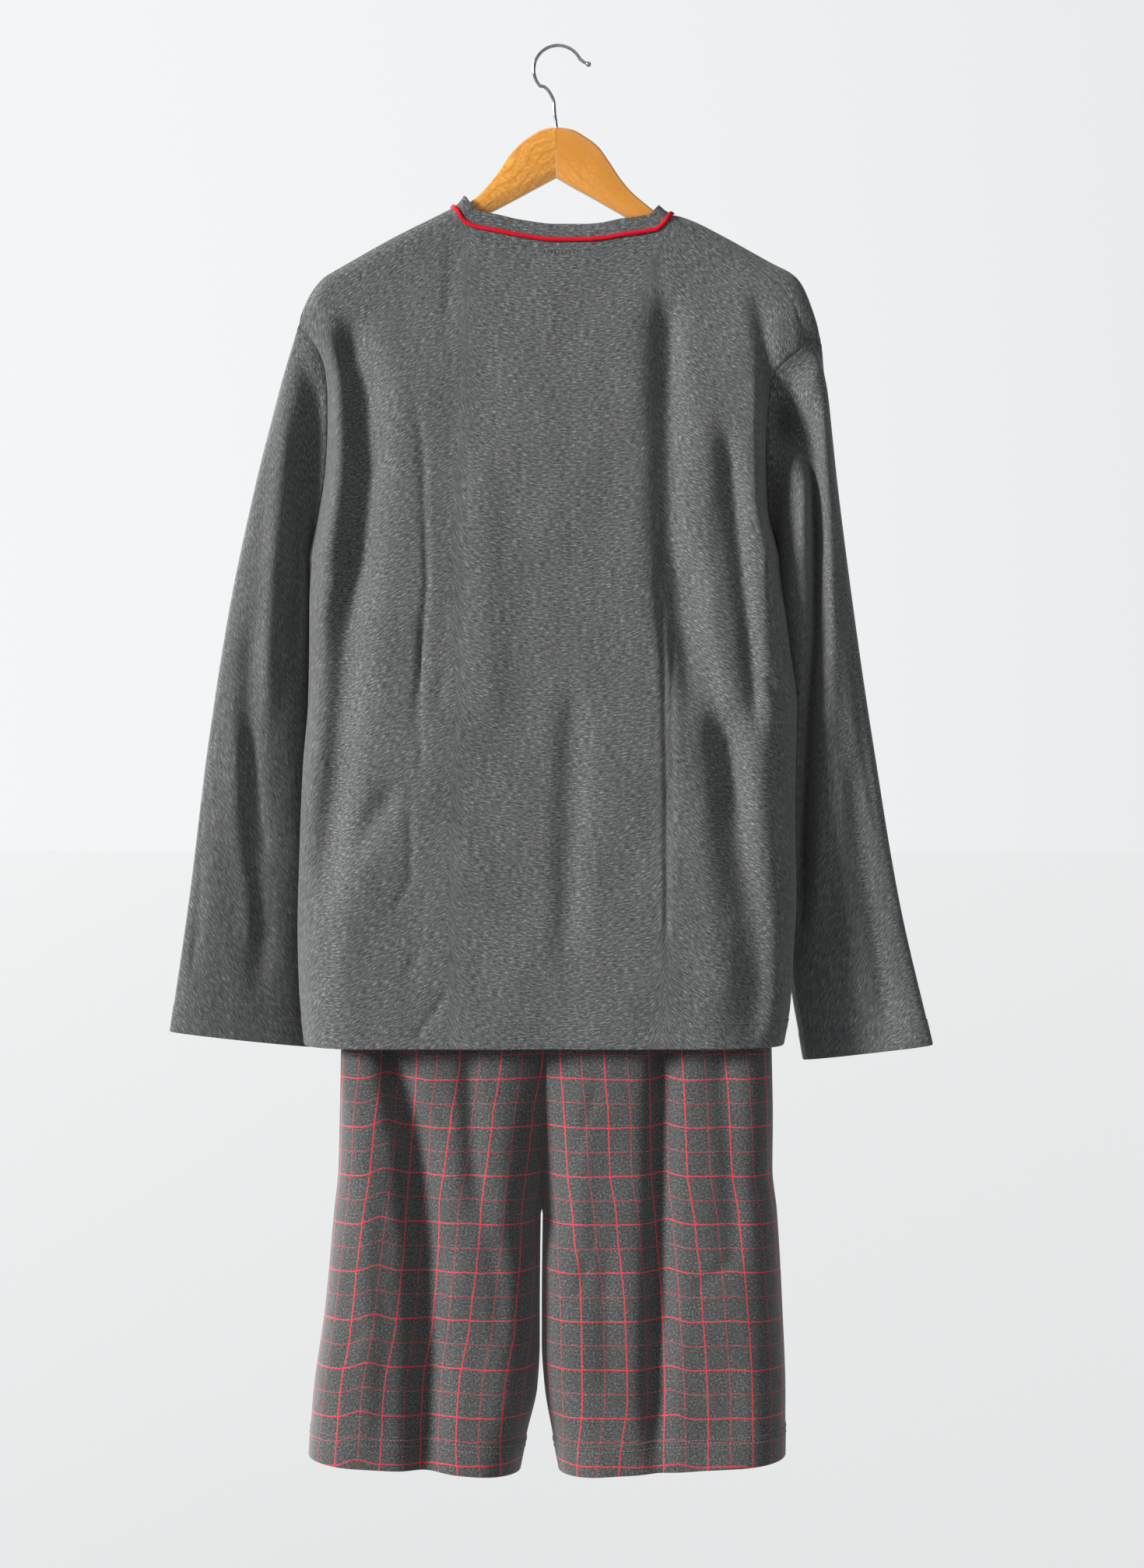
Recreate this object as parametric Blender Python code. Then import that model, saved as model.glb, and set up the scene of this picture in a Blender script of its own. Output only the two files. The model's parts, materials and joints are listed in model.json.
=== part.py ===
"""Two-piece pyjama set on a wooden hanger: a long-sleeved jersey top hung over a pair of shorts.

The set's back faces -Y and its front faces +Y.  The origin is where a rod touches the inside of the
hook, and everything hangs below it.  "Left" is the -X side and "right" the +X side.

Each cloth piece starts as a grid of points on the middle of its wall: rows run up the piece and
columns run across it, so that column x row points out of the garment.  Pieces that are sewn together
share their seam points, and a wall is then grown to both sides of every grid.
"""

import math

import bpy
import numpy as np

for old in list(bpy.data.objects):
    bpy.data.objects.remove(old, do_unlink=True)
set_root = bpy.data.objects.new("pyjama_set", None)
bpy.context.scene.collection.objects.link(set_root)

# ---------------------------------------------------------------- driving sizes, in metres

JERSEY = 0.0012          # wall of the top
FLANNEL = 0.0014         # wall of the shorts
HEM_EXTRA = 0.0010       # what a turned-up hem adds to the wall
HEM_HEIGHT = 0.024       # height of the turned-up hems and cuffs
SEAM_GAP = 0.0005        # between two sewn edges
MITRE_LIMIT = 0.55       # a seam's mitre is at most 1 over this longer than the wall is thick
SHARP_EDGE = 50          # degrees, edges sharper than this stay sharp
DOWN = (0.0, 0.0, -1.0)
LEFT_AND_UP = (-1.0, 0.0, 0.7)

TOP_HEM_Z = -0.858       # lower edge of the top
ARMPIT_Z = -0.438
CREST_RADIUS = 0.009     # the cloth's bend over the hanger
SIDE_ROWS = 12           # rows from the hem to the armpit
ARM_ROWS = 10            # rows from the armpit to the shoulder
BEND_ROWS = (0.0, 0.0060, 0.0120, 0.0190, 0.0300)   # rows where the cloth bends over the hanger
UNDERARM_RISE = 0.055    # height below the armpit over which the sides' roll opens out
UNDERARM_OPEN = 0.9      # how open the roll is above it
CREST_FLAT = 0.010       # length down from the crest that carries no folds
FOLDS_FULL = 0.060       # and the length after it over which they grow
FOLD_FADE = 0.2          # share of its length over which a fold starts and ends
SHOULDER_COLUMNS = 8
NECK_COLUMNS = 12
LEFT_NECK_SHARE = 0.300  # where the neck starts and ends along the width of the top
RIGHT_NECK_SHARE = 0.727

BAND_HEIGHT = 0.0145     # neckband above its seam
BAND_LEAN = 0.0025
BAND_TILT = 0.15         # how much of the cloth's upward tilt the neckband keeps
BAND_CLEAR = 0.0078      # the neckband stands at least this far before and behind the hanger
BAND_LEAN_HALF = 0.035   # the lean is full this far from the middle and fades over the next length
BAND_LEAN_FADE = 0.020
PIPING_WIDTH = 0.0046
PIPING_DEPTH = 0.0016
PIPING_LIFT = 0.0011     # between the piping and the cloth under it
PIPING_EDGE = 0.6        # share of its depth left at its two edges

WAIST_Z = -0.662
WAISTBAND_HEIGHT = 0.035
WAISTBAND_WALL = 0.0030
CROTCH_Z = -1.000
LEG_HEM_Z = -1.214
BODY_ROWS = 8            # rows of the shorts above the crotch
LEG_ROWS = 7
LEG_COLUMNS = 14
GATHER_DEPTH = 0.0022
GATHERS_PER_PANEL = 3
GATHERS_REACH = 0.16     # how far down the gathers run
OUTSEAM_ROLL = 0.040     # width over which a leg's face rolls to its outer and inner seam
INSEAM_ROLL = 0.038
RISE_BLEND = 0.05        # height below the crotch over which the inseam's roll opens out
RISE_OPEN = 0.8
LEG_SLANT_RISE = 0.20    # height over which the hem's slant grows
LEG_SLANT_PIVOT = 0.3    # share of the leg's width that stays level

WOOD_DEPTH = 0.013
WOOD_EDGE = 0.0028       # rounding of the arms' long edges
WOOD_JOINT_X = -0.0015   # the two arms meet here
WIRE_RADIUS = 0.0014
WIRE_SIDES = 10
HOOK_RADIUS = 0.0209     # of the wire's centre line
HOOK_TIP_RADIUS = 0.0023
SHANK_DEPTH = 0.018      # how far the wire goes into the wood
TACK_X = 0.120           # the two tacks stand this far from the middle
TACK_DROP = 0.017        # below the top of the waistband
TACK_PAD_RADIUS = 0.0030
TACK_WIRE_RADIUS = 0.0006
TACK_PAD_DEPTH = 0.0008


def table(columns, *rows):
    """A table as a dictionary of named columns."""
    names = columns.split()
    return {name: np.array([row[place] for row in rows]) for place, name in enumerate(names)}


# Side seams from the armpit to the hem.
LEFT_SIDE = table(
    "z       x        y",
    (-0.438, -0.2165, 0.018),
    (-0.460, -0.2150, 0.016),
    (-0.495, -0.2147, 0.014),
    (-0.560, -0.2157, 0.013),
    (-0.622, -0.2204, 0.012),
    (-0.696, -0.2233, 0.012),
    (-0.757, -0.2248, 0.012),
    (-0.812, -0.2233, 0.012),
    (-0.858, -0.2187, 0.012),
)
RIGHT_SIDE = table(
    "z       x       y",
    (-0.438, 0.1925, 0.018),
    (-0.460, 0.1936, 0.016),
    (-0.480, 0.1957, 0.014),
    (-0.519, 0.2005, 0.013),
    (-0.565, 0.2060, 0.012),
    (-0.657, 0.2044, 0.012),
    (-0.732, 0.2054, 0.012),
    (-0.783, 0.2029, 0.012),
    (-0.824, 0.2003, 0.012),
    (-0.858, 0.1943, 0.012),
)

# Armhole seams from the armpit up to the end of the shoulder seam.
LEFT_ARMHOLE_BACK = table(
    "x        y       z",
    (-0.2165, 0.018, -0.438),
    (-0.2070, 0.010, -0.402),
    (-0.2020, 0.004, -0.360),
    (-0.2044, 0.001, -0.330),
    (-0.2097, -0.003, -0.294),
    (-0.2170, -0.004, -0.266),
    (-0.2227, 0.000, -0.254),
)
LEFT_ARMHOLE_FRONT = table(
    "x        y      z",
    (-0.2165, 0.018, -0.438),
    (-0.2060, 0.026, -0.402),
    (-0.2040, 0.029, -0.360),
    (-0.2070, 0.028, -0.330),
    (-0.2125, 0.022, -0.294),
    (-0.2190, 0.010, -0.266),
    (-0.2227, 0.000, -0.254),
)
RIGHT_ARMHOLE_BACK = table(
    "x       y       z",
    (0.1925, 0.018, -0.438),
    (0.1810, 0.009, -0.396),
    (0.1790, 0.004, -0.345),
    (0.1810, -0.001, -0.300),
    (0.1870, -0.008, -0.281),
    (0.2030, -0.012, -0.266),
    (0.2110, -0.010, -0.259),
)
RIGHT_ARMHOLE_FRONT = table(
    "x       y       z",
    (0.1925, 0.018, -0.438),
    (0.1900, 0.026, -0.396),
    (0.1940, 0.029, -0.345),
    (0.2060, 0.024, -0.300),
    (0.2190, 0.014, -0.268),
    (0.2240, 0.002, -0.252),
    (0.2110, -0.010, -0.259),
)

# The line over which the cloth bends: along both arms of the hanger, and level across the neck.
CREST = table(
    "x        z",
    (-0.2227, -0.2540),
    (-0.2205, -0.2370),
    (-0.2165, -0.2230),
    (-0.2080, -0.2070),
    (-0.1900, -0.1920),
    (-0.1430, -0.1650),
    (-0.0926, -0.1398),
    (-0.0840, -0.1352),
    (-0.0750, -0.1312),
    (-0.0500, -0.1280),
    (0.0500, -0.1280),
    (0.0750, -0.1332),
    (0.0840, -0.1376),
    (0.0940, -0.1425),
    (0.1320, -0.1642),
    (0.1695, -0.1856),
    (0.1963, -0.2003),
    (0.2090, -0.2140),
    (0.2180, -0.2330),
)

# How far below the crest each panel's top edge lies, along the cloth; minus is beyond the crest.
BACK_START = table(
    "x        start",
    (-0.0926, 0.0000),
    (-0.0860, 0.0129),
    (-0.0757, 0.0252),
    (-0.0400, 0.0371),
    (0.0000, 0.0406),
    (0.0400, 0.0389),
    (0.0770, 0.0258),
    (0.0860, 0.0129),
    (0.0895, 0.0070),
    (0.0926, 0.0000),
    (0.1157, 0.0030),
    (0.1380, 0.0075),
    (0.1584, 0.0118),
)
FRONT_START = table(
    "x        start",
    (-0.0926, 0.0000),
    (-0.0840, 0.0219),
    (-0.0700, 0.0526),
    (-0.0400, 0.0871),
    (0.0000, 0.0991),
    (0.0400, 0.0871),
    (0.0700, 0.0526),
    (0.0840, 0.0219),
    (0.0926, 0.0000),
    (0.1157, -0.0030),
    (0.1380, -0.0075),
    (0.1584, -0.0118),
)

# How far the top's two faces stand from the middle plane, how wide they roll in at the sides, and
# the share of the width over which the sides' own height is felt.
TOP_DEPTH = table(
    "z       back   front   side_roll seam_pull",
    (-0.130, 0.0100, 0.0100, 0.010, 0.030),
    (-0.165, 0.0108, 0.0108, 0.010, 0.030),
    (-0.200, 0.0130, 0.0130, 0.011, 0.030),
    (-0.250, 0.0190, 0.0190, 0.015, 0.035),
    (-0.300, 0.0270, 0.0260, 0.030, 0.060),
    (-0.360, 0.0340, 0.0320, 0.046, 0.100),
    (-0.440, 0.0400, 0.0380, 0.048, 0.100),
    (-0.550, 0.0450, 0.0420, 0.048, 0.100),
    (-0.700, 0.0480, 0.0450, 0.048, 0.100),
    (-0.858, 0.0490, 0.0470, 0.048, 0.100),
)

# Large soft folds.  x1 to x4 place the fold at four even heights from z_top down to z_low.
FOLD_COLUMNS = "z_top z_low x1 x2 x3 x4 width depth"
BACK_FOLDS = table(
    FOLD_COLUMNS,
    (-0.255, -0.730, -0.182, -0.156, -0.176, -0.205, 0.0160, 0.0140),
    (-0.235, -0.720, 0.092, 0.096, 0.097, 0.100, 0.0150, 0.0090),
    (-0.300, -0.610, 0.138, 0.142, 0.153, 0.170, 0.0085, 0.0060),
    (-0.560, -0.866, 0.138, 0.157, 0.171, 0.160, 0.0200, 0.0150),
    (-0.480, -0.790, 0.020, 0.016, 0.012, 0.009, 0.0180, 0.0045),
    (-0.200, -0.330, 0.163, 0.171, 0.177, 0.180, 0.0090, 0.0120),
)
FRONT_FOLDS = table(
    FOLD_COLUMNS,
    (-0.260, -0.740, -0.160, -0.145, -0.150, -0.165, 0.0170, 0.0110),
    (-0.240, -0.800, 0.140, 0.128, 0.136, 0.150, 0.0170, 0.0120),
    (-0.420, -0.866, -0.055, -0.060, -0.070, -0.075, 0.0220, 0.0070),
    (-0.380, -0.780, 0.050, 0.046, 0.040, 0.044, 0.0200, 0.0060),
)

# Sleeves as tilted flat rings, from the armhole (share 0) to the cuff (share 1).  Each ring has an
# outer and an inner end, and half a depth between them.
SLEEVE_COLUMNS = "share outer_x outer_y outer_z inner_x inner_y inner_z half"
LEFT_SLEEVE = table(
    SLEEVE_COLUMNS,
    (0.00, -0.2227, 0.000, -0.2540, -0.2165, 0.018, -0.4380, 0.010),
    (0.01, -0.2265, 0.001, -0.2555, -0.2208, 0.020, -0.4395, 0.010),
    (0.04, -0.2330, 0.004, -0.2760, -0.2205, 0.030, -0.4590, 0.015),
    (0.09, -0.2420, 0.006, -0.3070, -0.2185, 0.038, -0.4780, 0.019),
    (0.20, -0.2595, 0.008, -0.3720, -0.2160, 0.044, -0.5240, 0.022),
    (0.40, -0.2845, 0.010, -0.4900, -0.2150, 0.046, -0.6080, 0.021),
    (0.60, -0.3030, 0.012, -0.6090, -0.2150, 0.047, -0.6920, 0.019),
    (0.80, -0.3180, 0.014, -0.7280, -0.2125, 0.047, -0.7760, 0.017),
    (1.00, -0.3354, 0.016, -0.8480, -0.2120, 0.047, -0.8610, 0.016),
)
RIGHT_SLEEVE = table(
    SLEEVE_COLUMNS,
    (0.00, 0.2240, 0.002, -0.2520, 0.1925, 0.018, -0.4380, 0.010),
    (0.01, 0.2275, 0.003, -0.2560, 0.1968, 0.020, -0.4395, 0.010),
    (0.04, 0.2285, 0.004, -0.2750, 0.1985, 0.030, -0.4590, 0.015),
    (0.09, 0.2318, 0.006, -0.3040, 0.2000, 0.038, -0.4780, 0.019),
    (0.20, 0.2387, 0.008, -0.3700, 0.2020, 0.044, -0.5250, 0.022),
    (0.40, 0.2545, 0.010, -0.4890, 0.2040, 0.046, -0.6120, 0.021),
    (0.60, 0.2734, 0.012, -0.6120, 0.2035, 0.047, -0.7000, 0.019),
    (0.80, 0.2946, 0.014, -0.7350, 0.2025, 0.047, -0.7870, 0.017),
    (1.00, 0.3237, 0.016, -0.8596, 0.2090, 0.047, -0.8737, 0.016),
)
SLEEVE_SHARES = (1.0, 0.97, 0.90, 0.80, 0.70, 0.60, 0.50, 0.40, 0.30, 0.22, 0.15, 0.09, 0.04, 0.01, 0.0)
ARMHOLE_BLEND = 0.20     # share of the sleeve over which the armhole's shape fades out
ARMHOLE_FADE = 4         # power of that fade
SLEEVE_ROUND = 0.8       # below 1 the sleeve's sides are fuller than an ellipse's
SLEEVE_FOLDS_START = 0.05
LEFT_SLEEVE_FOLDS = table(
    FOLD_COLUMNS,
    (-0.520, -0.760, -0.265, -0.266, -0.260, -0.250, 0.0100, 0.0040),
    (-0.300, -0.560, -0.228, -0.236, -0.242, -0.246, 0.0100, -0.0050),
)
RIGHT_SLEEVE_FOLDS = table(
    FOLD_COLUMNS,
    (-0.262, -0.680, 0.2120, 0.2190, 0.2200, 0.2140, 0.0080, 0.0150),
    (-0.620, -0.800, 0.2530, 0.2590, 0.2680, 0.2790, 0.0090, 0.0040),
)

# Shorts: outer edges, and the faces' distance from the middle plane at the legs and at the rise.
SHORTS = table(
    "z       left     right   middle   back    front   back_rise front_rise",
    (-0.662, -0.1850, 0.1800, -0.0060, 0.0250, 0.0250, 0.0240, 0.0240),
    (-0.760, -0.1860, 0.1815, -0.0080, 0.0270, 0.0270, 0.0220, 0.0240),
    (-0.860, -0.1870, 0.1840, -0.0100, 0.0290, 0.0300, 0.0150, 0.0200),
    (-0.920, -0.1880, 0.1850, -0.0120, 0.0340, 0.0340, 0.0080, 0.0150),
    (-0.964, -0.1889, 0.1845, -0.0130, 0.0370, 0.0370, 0.0020, 0.0080),
    (-1.000, -0.1925, 0.1883, -0.0140, 0.0390, 0.0390, -0.0040, 0.0040),
    (-1.085, -0.2003, 0.1930, -0.0149, 0.0420, 0.0420, 0.0000, 0.0000),
    (-1.160, -0.2104, 0.1956, -0.0149, 0.0440, 0.0440, 0.0000, 0.0000),
    (-1.214, -0.2139, 0.1950, -0.0149, 0.0450, 0.0450, 0.0000, 0.0000),
)
OUTSEAM_Y = 0.004
INSEAM_Y = 0.004
# How far each inseam stands off the middle below the crotch, and how the leg hems slant.
INSEAM_SPREAD = table(
    "z       left    right",
    (-1.000, 0.0014, 0.0014),
    (-1.095, 0.0015, 0.0015),
    (-1.146, 0.0040, 0.0050),
    (-1.180, 0.0140, 0.0100),
    (-1.214, 0.0200, 0.0150),
)
LEG_HEM_SLANT = 0.012    # the inner end of each leg hem hangs this much lower than the outer
SHORTS_BACK_FOLDS = table(
    FOLD_COLUMNS,
    (-0.740, -1.230, -0.166, -0.150, -0.138, -0.143, 0.0150, 0.0110),
    (-0.760, -1.000, -0.078, -0.076, -0.072, -0.066, 0.0110, 0.0060),
    (-0.740, -1.230, 0.0900, 0.0880, 0.0860, 0.0840, 0.0130, 0.0090),
    (-0.780, -1.060, 0.1400, 0.1420, 0.1460, 0.1500, 0.0120, 0.0060),
)
SHORTS_FRONT_FOLDS = table(
    FOLD_COLUMNS,
    (-0.740, -1.230, -0.130, -0.126, -0.120, -0.124, 0.0150, 0.0090),
    (-0.740, -1.230, 0.1050, 0.1000, 0.0960, 0.1000, 0.0150, 0.0090),
)

# Wooden arms where they show in the neck; further out their tops follow the cloth's crest.
LEFT_WOOD = table(
    "x        top      bottom",
    (-0.0015, -0.0697, -0.1123),
    (-0.0122, -0.0714, -0.1180),
    (-0.0238, -0.0774, -0.1243),
    (-0.0340, -0.0854, -0.1298),
    (-0.0427, -0.0949, -0.1344),
    (-0.0510, -0.1075, -0.1388),
    (-0.0600, -0.1192, -0.1436),
    (-0.0700, -0.1296, -0.1490),
)
RIGHT_WOOD = table(
    "x       top      bottom",
    (-0.0015, -0.0697, -0.1123),
    (0.0110, -0.0714, -0.1198),
    (0.0226, -0.0774, -0.1261),
    (0.0343, -0.0862, -0.1326),
    (0.0444, -0.1000, -0.1384),
    (0.0531, -0.1132, -0.1434),
    (0.0619, -0.1240, -0.1488),
    (0.0710, -0.1322, -0.1540),
)
# Hidden part of the arms: how far their top lies under the crest, and the arm's height and depth.
LEFT_ARM = table(
    "x        under   height  depth",
    (-0.0850, 0.0042, 0.0185, 0.0130),
    (-0.0926, 0.0038, 0.0200, 0.0130),
    (-0.1150, 0.0036, 0.0200, 0.0130),
    (-0.1400, 0.0036, 0.0200, 0.0130),
    (-0.1650, 0.0038, 0.0200, 0.0125),
    (-0.1840, 0.0042, 0.0180, 0.0115),
    (-0.1960, 0.0052, 0.0140, 0.0100),
    (-0.2030, 0.0075, 0.0070, 0.0070),
)
RIGHT_ARM = table(
    "x       under   height  depth",
    (0.0850, 0.0046, 0.0175, 0.0122),
    (0.0940, 0.0042, 0.0200, 0.0126),
    (0.1150, 0.0040, 0.0200, 0.0128),
    (0.1400, 0.0036, 0.0200, 0.0130),
    (0.1650, 0.0038, 0.0200, 0.0125),
    (0.1800, 0.0042, 0.0180, 0.0115),
    (0.1910, 0.0052, 0.0140, 0.0100),
    (0.1980, 0.0075, 0.0070, 0.0070),
)

# Wire hook below and beyond its round: from the wood up to the round, and from the round to its tip.
HOOK_SHANK = ((-0.0030, -0.0565), (-0.0036, -0.0475), (-0.0058, -0.0415), (-0.0125, -0.0340))
HOOK_TIP = ((0.0197, -0.0110), (0.0218, -0.0127), (0.0241, -0.0138))
HOOK_ARC = (222, 24)     # degrees, where the round starts and ends

COLOURS = {
    "jersey": ((0.085, 0.088, 0.092), 0.95, 0.0),
    "piping": ((0.52, 0.010, 0.030), 0.80, 0.0),
    "flannel": ((0.110, 0.100, 0.102), 0.95, 0.0),
    "wood": ((0.60, 0.30, 0.075), 0.35, 0.0),
    "chrome": ((0.80, 0.80, 0.82), 0.12, 1.0),
    "nylon": ((0.85, 0.85, 0.85), 0.50, 0.0),
}


# ---------------------------------------------------------------- small helpers

def follow(stations, values, at):
    """A smooth curve through a table's column, without overshoot."""
    order = np.argsort(stations)
    x = np.asarray(stations, float)[order]
    y = np.asarray(values, float)[order]
    step = np.diff(x)
    slope = np.diff(y) / step
    tangent = np.zeros_like(y)
    tangent[0] = slope[0]
    tangent[-1] = slope[-1]
    same_way = slope[:-1] * slope[1:] > 0
    total = np.where(same_way, slope[:-1] + slope[1:], 1)
    tangent[1:-1] = np.where(same_way, 2 * slope[:-1] * slope[1:] / total, 0)
    at = np.clip(at, x[0], x[-1])
    piece = np.clip(np.searchsorted(x, at) - 1, 0, len(step) - 1)
    t = (at - x[piece]) / step[piece]
    rise = 3 * t ** 2 - 2 * t ** 3
    start_pull = (t ** 3 - 2 * t ** 2 + t) * step[piece] * tangent[piece]
    end_pull = (t ** 3 - t ** 2) * step[piece] * tangent[piece + 1]
    return y[piece] * (1 - rise) + y[piece + 1] * rise + start_pull + end_pull


def smooth(share):
    """0 to 1 with level ends."""
    share = np.clip(share, 0, 1)
    return share * share * (3 - 2 * share)


def line_and_length(rows):
    """The points of a table of x, y and z, and the length of their line up to each."""
    points = np.stack([rows["x"], rows["y"], rows["z"]], axis=1)
    steps = np.linalg.norm(np.diff(points, axis=0), axis=1)
    return points, np.concatenate([[0], np.cumsum(steps)])


def roll(distance, width, openness):
    """How fully a face has left its seam: 0 on the seam, 1 past the roll.

    At openness 0 it leaves straight out as a quarter ellipse, at 1 on a soft slope."""
    t = np.clip(distance / width, 0, 1)
    return (1 - openness) * np.sqrt(1 - (1 - t) ** 2) + openness * np.sin(t * math.pi / 2)


def folds_at(x, z, folds):
    """Depth of the folds at each point."""
    total = np.zeros(np.broadcast(x, z).shape)
    for row in range(len(folds["depth"])):
        z_top, z_low = folds["z_top"][row], folds["z_low"][row]
        heights = np.linspace(z_top, z_low, 4)
        places = [folds[name][row] for name in ("x1", "x2", "x3", "x4")]
        centre = follow(heights, places, z)
        share = (z_top - z) / (z_top - z_low)
        fade = smooth(share / FOLD_FADE) * smooth((1 - share) / FOLD_FADE)
        total += folds["depth"][row] * fade * np.exp(-((x - centre) / folds["width"][row]) ** 2)
    return total


# ---------------------------------------------------------------- the top's grids

def column_shares():
    """Columns across the top: closer towards the sides and towards the ends of the neck."""
    edge = 1 - np.cos(np.linspace(0, math.pi / 2, SHOULDER_COLUMNS + 1))
    left = LEFT_NECK_SHARE * edge
    swing = (1 - np.cos(np.linspace(0, math.pi, NECK_COLUMNS + 1))) / 2
    neck = LEFT_NECK_SHARE + (RIGHT_NECK_SHARE - LEFT_NECK_SHARE) * swing
    right = 1 - (1 - RIGHT_NECK_SHARE) * edge[::-1]
    return np.concatenate([left, neck[1:-1], right])


def rows_down(length):
    """Distances from a top edge down to the armpit: set ones over the bend, then even ones."""
    length = np.atleast_1d(length)[None, :]
    bend = np.array(BEND_ROWS)[:, None] + 0 * length
    even = np.linspace(0, 1, ARM_ROWS - len(BEND_ROWS) + 2)[1:, None]
    return np.concatenate([bend, bend[-1:] + (length - bend[-1:]) * even])


def side_line(side, armhole):
    """One side of a panel: side seam from the hem to the armpit, then the armhole seam."""
    z = np.linspace(TOP_HEM_Z, ARMPIT_Z, SIDE_ROWS + 1)
    seam = np.stack([follow(side["z"], side["x"], z), follow(side["z"], side["y"], z), z], axis=1)
    points, length = line_and_length(armhole)
    up = length[-1] - rows_down(length[-1])[::-1, 0]
    arm = np.stack([follow(length, points[:, axis], up) for axis in range(3)], axis=-1)
    return np.concatenate([seam[:-1], arm])


def torso_panel(face, start, depth_column, left_line, right_line, folds):
    """Grid of the back (face -1) or the front (face +1), columns from -X to +X."""
    shares = column_shares()
    left, right = left_line[:, None, :], right_line[:, None, :]
    x = left[..., 0] + (right[..., 0] - left[..., 0]) * shares
    top_x = x[-1]
    crest_z = follow(CREST["x"], CREST["z"], top_x)
    start_at = follow(start["x"], start["start"], top_x)
    bend = CREST_RADIUS * math.pi / 2
    armpit_at = crest_z - CREST_RADIUS - ARMPIT_Z + bend
    hem_at = crest_z - CREST_RADIUS - TOP_HEM_Z + bend
    down_share = np.linspace(0, 1, SIDE_ROWS + 1)[:-1, None]
    lower = hem_at + (armpit_at - hem_at) * down_share
    upper = start_at + rows_down(armpit_at - start_at)[::-1]
    distance = np.concatenate([lower, upper])
    angle = np.clip(distance / CREST_RADIUS, -math.pi / 2, math.pi / 2)
    z = crest_z - CREST_RADIUS * (1 - np.cos(angle)) - np.maximum(distance - bend, 0)
    reach = follow(TOP_DEPTH["z"], TOP_DEPTH["seam_pull"], z)
    from_left = np.exp(-(shares / reach) ** 2)
    from_right = np.exp(-((1 - shares) / reach) ** 2)
    z = z + (left[..., 2] - z[:, :1]) * from_left + (right[..., 2] - z[:, -1:]) * from_right
    width = x[:, -1:] - x[:, :1]
    openness = smooth((z - ARMPIT_Z + UNDERARM_RISE) / UNDERARM_RISE) * UNDERARM_OPEN
    side_roll = follow(TOP_DEPTH["z"], TOP_DEPTH["side_roll"], z)
    fullness = roll(shares * width, side_roll, openness)
    fullness = fullness * roll((1 - shares) * width, side_roll, openness)
    seam_y = left[..., 1] + (right[..., 1] - left[..., 1]) * shares
    depth = follow(TOP_DEPTH["z"], TOP_DEPTH[depth_column], z) * np.sin(angle)
    below_crest = smooth((distance - CREST_FLAT) / FOLDS_FULL)
    depth = depth - folds_at(x, z, folds) * below_crest
    y = seam_y * (1 - fullness) + face * depth * fullness
    return np.stack([x, y, z], axis=-1)


def neck_line(back_row, front_row):
    """The neck's part of two rows as a closed loop: across the back, then across the front."""
    first, last = SHOULDER_COLUMNS, SHOULDER_COLUMNS + NECK_COLUMNS
    return np.concatenate([back_row[first:last], front_row[last:first:-1]])


def sleeve(rows, armhole_loop, first_face, folds):
    """Grid of a sleeve from its cuff up, columns from the underarm seam round to it again.

    first_face tells which face the columns cross first: -1 the back, +1 the front."""
    steps = np.linalg.norm(np.diff(armhole_loop, axis=0), axis=1)
    by_length = np.concatenate([[0], np.cumsum(steps)]) / steps.sum()
    around = (np.linspace(0, 1, len(armhole_loop)) + by_length) / 2
    across = (1 - np.cos(2 * math.pi * around)) / 2
    swing = np.sin(2 * math.pi * around)
    bulge = np.sign(swing) * np.abs(swing) ** SLEEVE_ROUND
    share = np.array(SLEEVE_SHARES)[:, None]
    ends = {name: follow(rows["share"], rows[name], share) for name in rows}
    points = []
    for axis in "xyz":
        inner, outer = ends["inner_" + axis], ends["outer_" + axis]
        points.append(inner + (outer - inner) * across)
    x, y, z = points
    y = y + first_face * ends["half"] * bulge
    on_back = smooth(-first_face * bulge * 2)
    y = y + folds_at(x, z, folds) * on_back * smooth(share / SLEEVE_FOLDS_START)
    grid = np.stack([x, y, z], axis=-1)
    fade = np.clip(1 - share / ARMHOLE_BLEND, 0, 1) ** ARMHOLE_FADE
    return grid + (armhole_loop - grid[-1]) * fade[..., None]


# ---------------------------------------------------------------- the shorts' grids

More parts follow.
